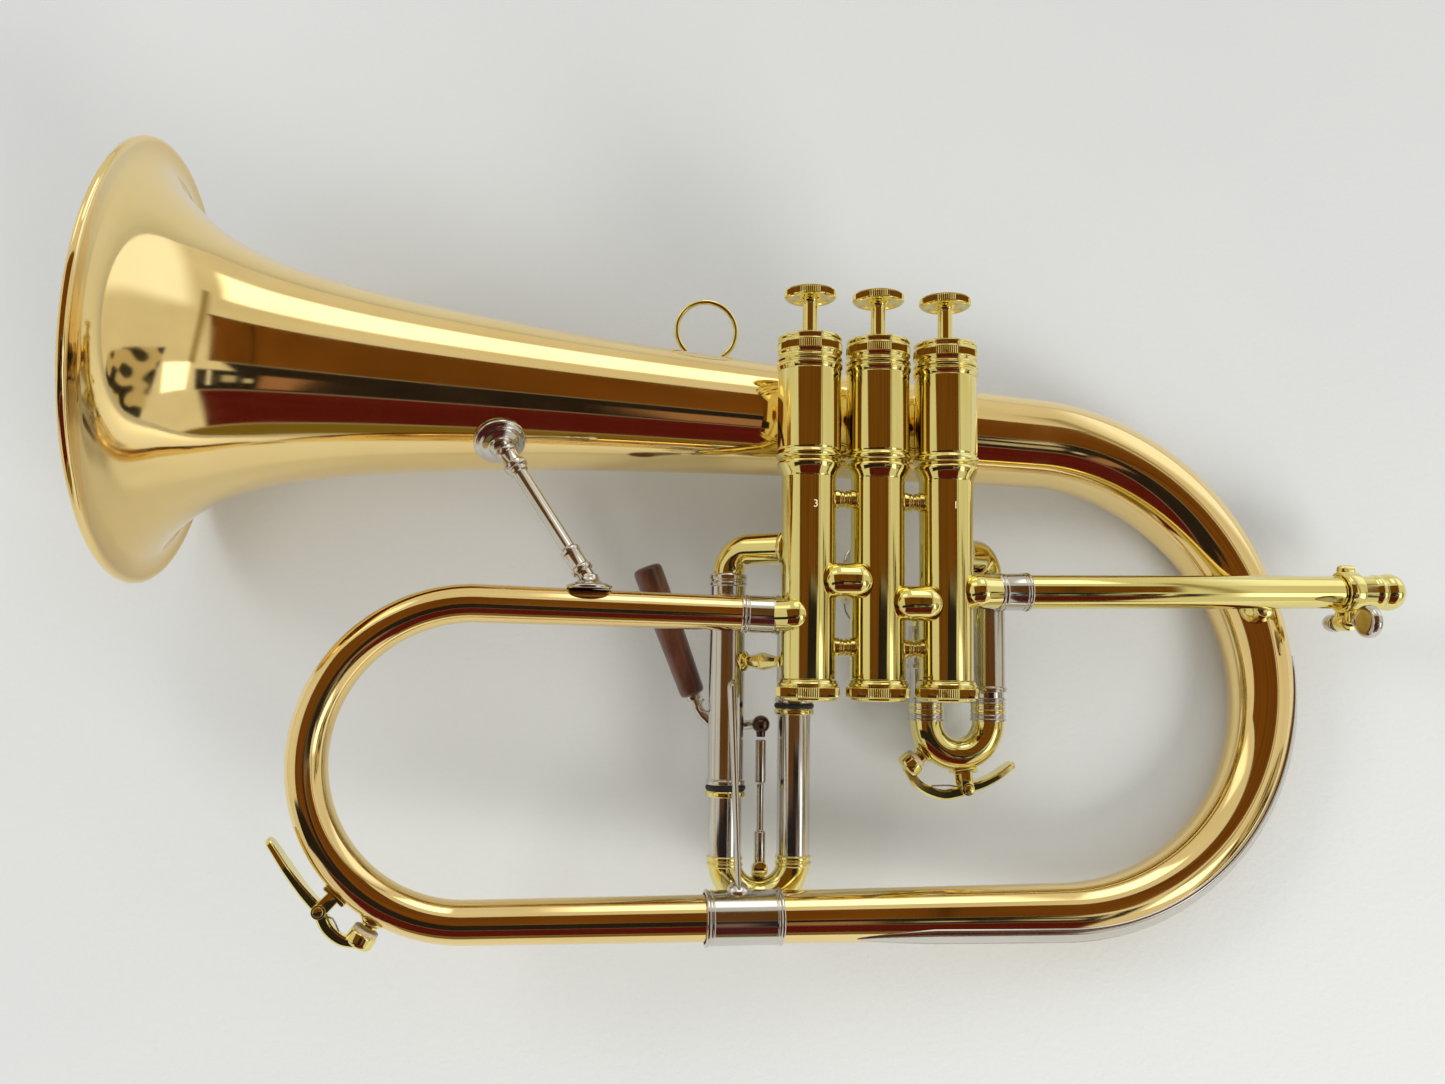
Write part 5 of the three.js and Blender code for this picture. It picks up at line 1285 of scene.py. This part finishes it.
class Room:
    """What the polished metal sees: a plan of the room, drawn in degrees from the zenith."""

    def __init__(self):
        self.world = bpy.data.worlds.new("room")
        bpy.context.scene.world = self.world
        self.world.use_nodes = True
        self.nodes, self.links = self.world.node_tree.nodes, self.world.node_tree.links
        self.coord = self.nodes.new("ShaderNodeTexCoord").outputs["Generated"]
        split = self.nodes.new("ShaderNodeSeparateXYZ")
        self.links.new(self.coord, split.inputs[0])
        x, y, z = split.outputs
        zenith = self.math("ARCCOSINE", self.math("MINIMUM", self.math("MAXIMUM", z, -0.9999), 0.9999))
        spread = self.math("DIVIDE", self.math("MULTIPLY", zenith, 180 / math.pi), self.math("SINE", zenith))
        self.u = self.math("MULTIPLY", x, spread)
        self.v = self.math("MULTIPLY", y, spread)
        plan = self.nodes.new("ShaderNodeCombineXYZ")
        self.links.new(self.u, plan.inputs[0])
        self.links.new(self.v, plan.inputs[1])
        self.plan = plan.outputs[0]

    def put(self, value, socket):
        if isinstance(value, bpy.types.NodeSocket):
            self.links.new(value, socket)
        else:
            socket.default_value = (*value, 1) if isinstance(value, tuple) else value

    def math(self, kind, *values):
        node = self.nodes.new("ShaderNodeMath")
        node.operation = kind
        for value, socket in zip(values, node.inputs):
            self.put(value, socket)
        return node.outputs[0]

    def step(self, value, edge, soft):
        node = self.nodes.new("ShaderNodeMapRange")
        node.interpolation_type = "SMOOTHSTEP"
        self.put(value, node.inputs["Value"])
        node.inputs["From Min"].default_value = edge - soft
        node.inputs["From Max"].default_value = edge + soft
        return node.outputs["Result"]

    def mix(self, fac, a, b):
        node = self.nodes.new("ShaderNodeMix")
        node.data_type = "RGBA"
        self.put(fac, node.inputs["Factor"])
        colours = [s for s in node.inputs if s.type == "RGBA"]
        self.put(a, colours[0])
        self.put(b, colours[1])
        return next(s for s in node.outputs if s.type == "RGBA")

    def noise(self, scale, stretch=(1, 1, 1), detail=3.0):
        scaled = self.nodes.new("ShaderNodeMapping")
        self.links.new(self.plan, scaled.inputs["Vector"])
        scaled.inputs["Scale"].default_value = stretch
        node = self.nodes.new("ShaderNodeTexNoise")
        node.inputs["Scale"].default_value = scale
        node.inputs["Detail"].default_value = detail
        self.links.new(scaled.outputs[0], node.inputs["Vector"])
        return node.outputs["Fac"]

    def patch(self, under, colour, u0, u1, v0, v1, soft=0.8, slant=0.0):
        """Lays a rectangle of colour over what is under it; slant leans its sides."""
        u = self.math("MULTIPLY_ADD", self.v, slant, self.u) if slant else self.u
        inside = self.math(
            "MULTIPLY",
            self.math("MULTIPLY", self.step(u, u0, soft), self.math("SUBTRACT", 1.0, self.step(u, u1, soft))),
            self.math(
                "MULTIPLY", self.step(self.v, v0, soft), self.math("SUBTRACT", 1.0, self.step(self.v, v1, soft))
            ),
        )
        return self.mix(inside, under, colour)


def world():
    """A pale room with a wooden ceiling panel, the dark desk beside it, red cloth and some windows."""
    room = Room()
    cloud = room.noise(0.035)
    wall = room.mix(cloud, (0.56, 0.53, 0.46), (0.80, 0.77, 0.69))
    sky = room.patch(wall, (1.10, 1.14, 1.22), 45, 120, 28, 120, 6)
    sky = room.patch(sky, (0.30, 0.25, 0.13), 41, 44, -20, 45, 1.2, 0.12)
    sky = room.patch(sky, (1.9, 1.9, 1.85), 13, 36, 42, 68, 2.0, 0.10)
    sky = room.patch(sky, (1.3, 1.3, 1.2), -48, -20, 34, 52, 3.0)
    planks = room.noise(0.16, (1.0, 0.10, 1.0), 4.0)
    wood = room.mix(planks, (0.05, 0.016, 0.002), (0.235, 0.092, 0.014))
    sky = room.patch(sky, wood, -42, 38, -17, 24, 0.8, 0.03)
    sky = room.patch(sky, (0.05, 0.022, 0.006), 25.5, 26.5, -17, 24, 0.4)
    sky = room.patch(sky, (0.10, 0.05, 0.015), -42, 38, 22.6, 24, 0.4)
    sky = room.patch(sky, wood, -42, 6, -25, -16, 1.0)
    sky = room.patch(sky, (0.018, 0.013, 0.012), -62, 43, -42, -24.5, 0.9)
    sky = room.patch(sky, (0.018, 0.013, 0.012), 6, 43, -26, -17, 1.5, -0.5)
    sky = room.patch(sky, (0.9, 0.9, 0.88), 37.5, 38.6, -38, -25, 0.3)
    sky = room.patch(sky, (0.45, 0.42, 0.36), 30, 34, -35, -29, 0.8)
    sky = room.patch(sky, (0.55, 0.52, 0.46), 25, 27.5, -35, -31, 0.6)
    sky = room.patch(sky, (0.30, 0.16, 0.10), 17, 23, -40, -27, 1.0)
    specks = room.step(room.noise(0.16, (1, 0.7, 1), 0.0), 0.50, 0.02)
    objects = room.mix(specks, (0.02, 0.016, 0.012), (0.50, 0.42, 0.27))
    sky = room.patch(sky, objects, 56, 84, -74, -8, 1.0, 0.30)
    sky = room.patch(sky, (1.7, 1.75, 1.9), 43.5, 58, -41, -19, 0.8, 0.10)
    cloth = room.mix(room.noise(0.08, (1, 2.0, 1)), (0.055, 0.005, 0.005), (0.115, 0.013, 0.011))
    sky = room.patch(sky, cloth, -34, 48, -76, -42, 1.5, -0.16)
    sky = room.patch(sky, (0.17, 0.12, 0.02), -34, 62, -90, -76, 2.0)
    path = room.nodes.new("ShaderNodeLightPath")
    lit = room.mix(path.outputs["Is Glossy Ray"], (0.69, 0.69, 0.68), sky)
    room.links.new(lit, room.nodes["Background"].inputs["Color"])


world()


def light(name, where, size, power, colour=(1, 1, 1)):
    """A soft lamp that only lights: the metal sees the room instead."""
    lamp = bpy.data.lights.new(name, "AREA")
    lamp.shape = "RECTANGLE"
    lamp.size, lamp.size_y = size
    lamp.energy = power
    lamp.color = colour
    thing = bpy.data.objects.new(name, lamp)
    bpy.context.scene.collection.objects.link(thing)
    thing.location = centre + Vector(where)
    thing.rotation_euler = (centre - thing.location).to_track_quat("-Z", "Y").to_euler()
    thing.visible_glossy = False


light("window_front", (0.75, -1.1, 0.8), (0.6, 0.5), 13, (1.0, 0.99, 0.97))
light("window_left", (-1.2, 0.35, 0.9), (0.6, 0.5), 5, (0.98, 0.99, 1.0))

camera = bpy.data.cameras.new("camera")
camera.sensor_width = 36.0
camera.lens = 36.0 * 1181 / 1445
camera.clip_start = 0.01
eye = bpy.data.objects.new("camera", camera)
bpy.context.scene.collection.objects.link(eye)
EYE = V((-112.8, -25.2, 392.3))
EYE_AXES = ((0.9887, 0.0141, 0.1494), (-0.0284, 0.9952, 0.0935), (-0.1473, -0.0967, 0.9843))
turn = TURN @ Matrix([V(a).normalized() for a in EYE_AXES]).transposed()
eye.matrix_world = Matrix.Translation(HORN @ EYE) @ turn.to_4x4()
bpy.context.scene.camera = eye
bpy.context.scene.view_settings.view_transform = "Standard"

bpy.context.view_layer.update()
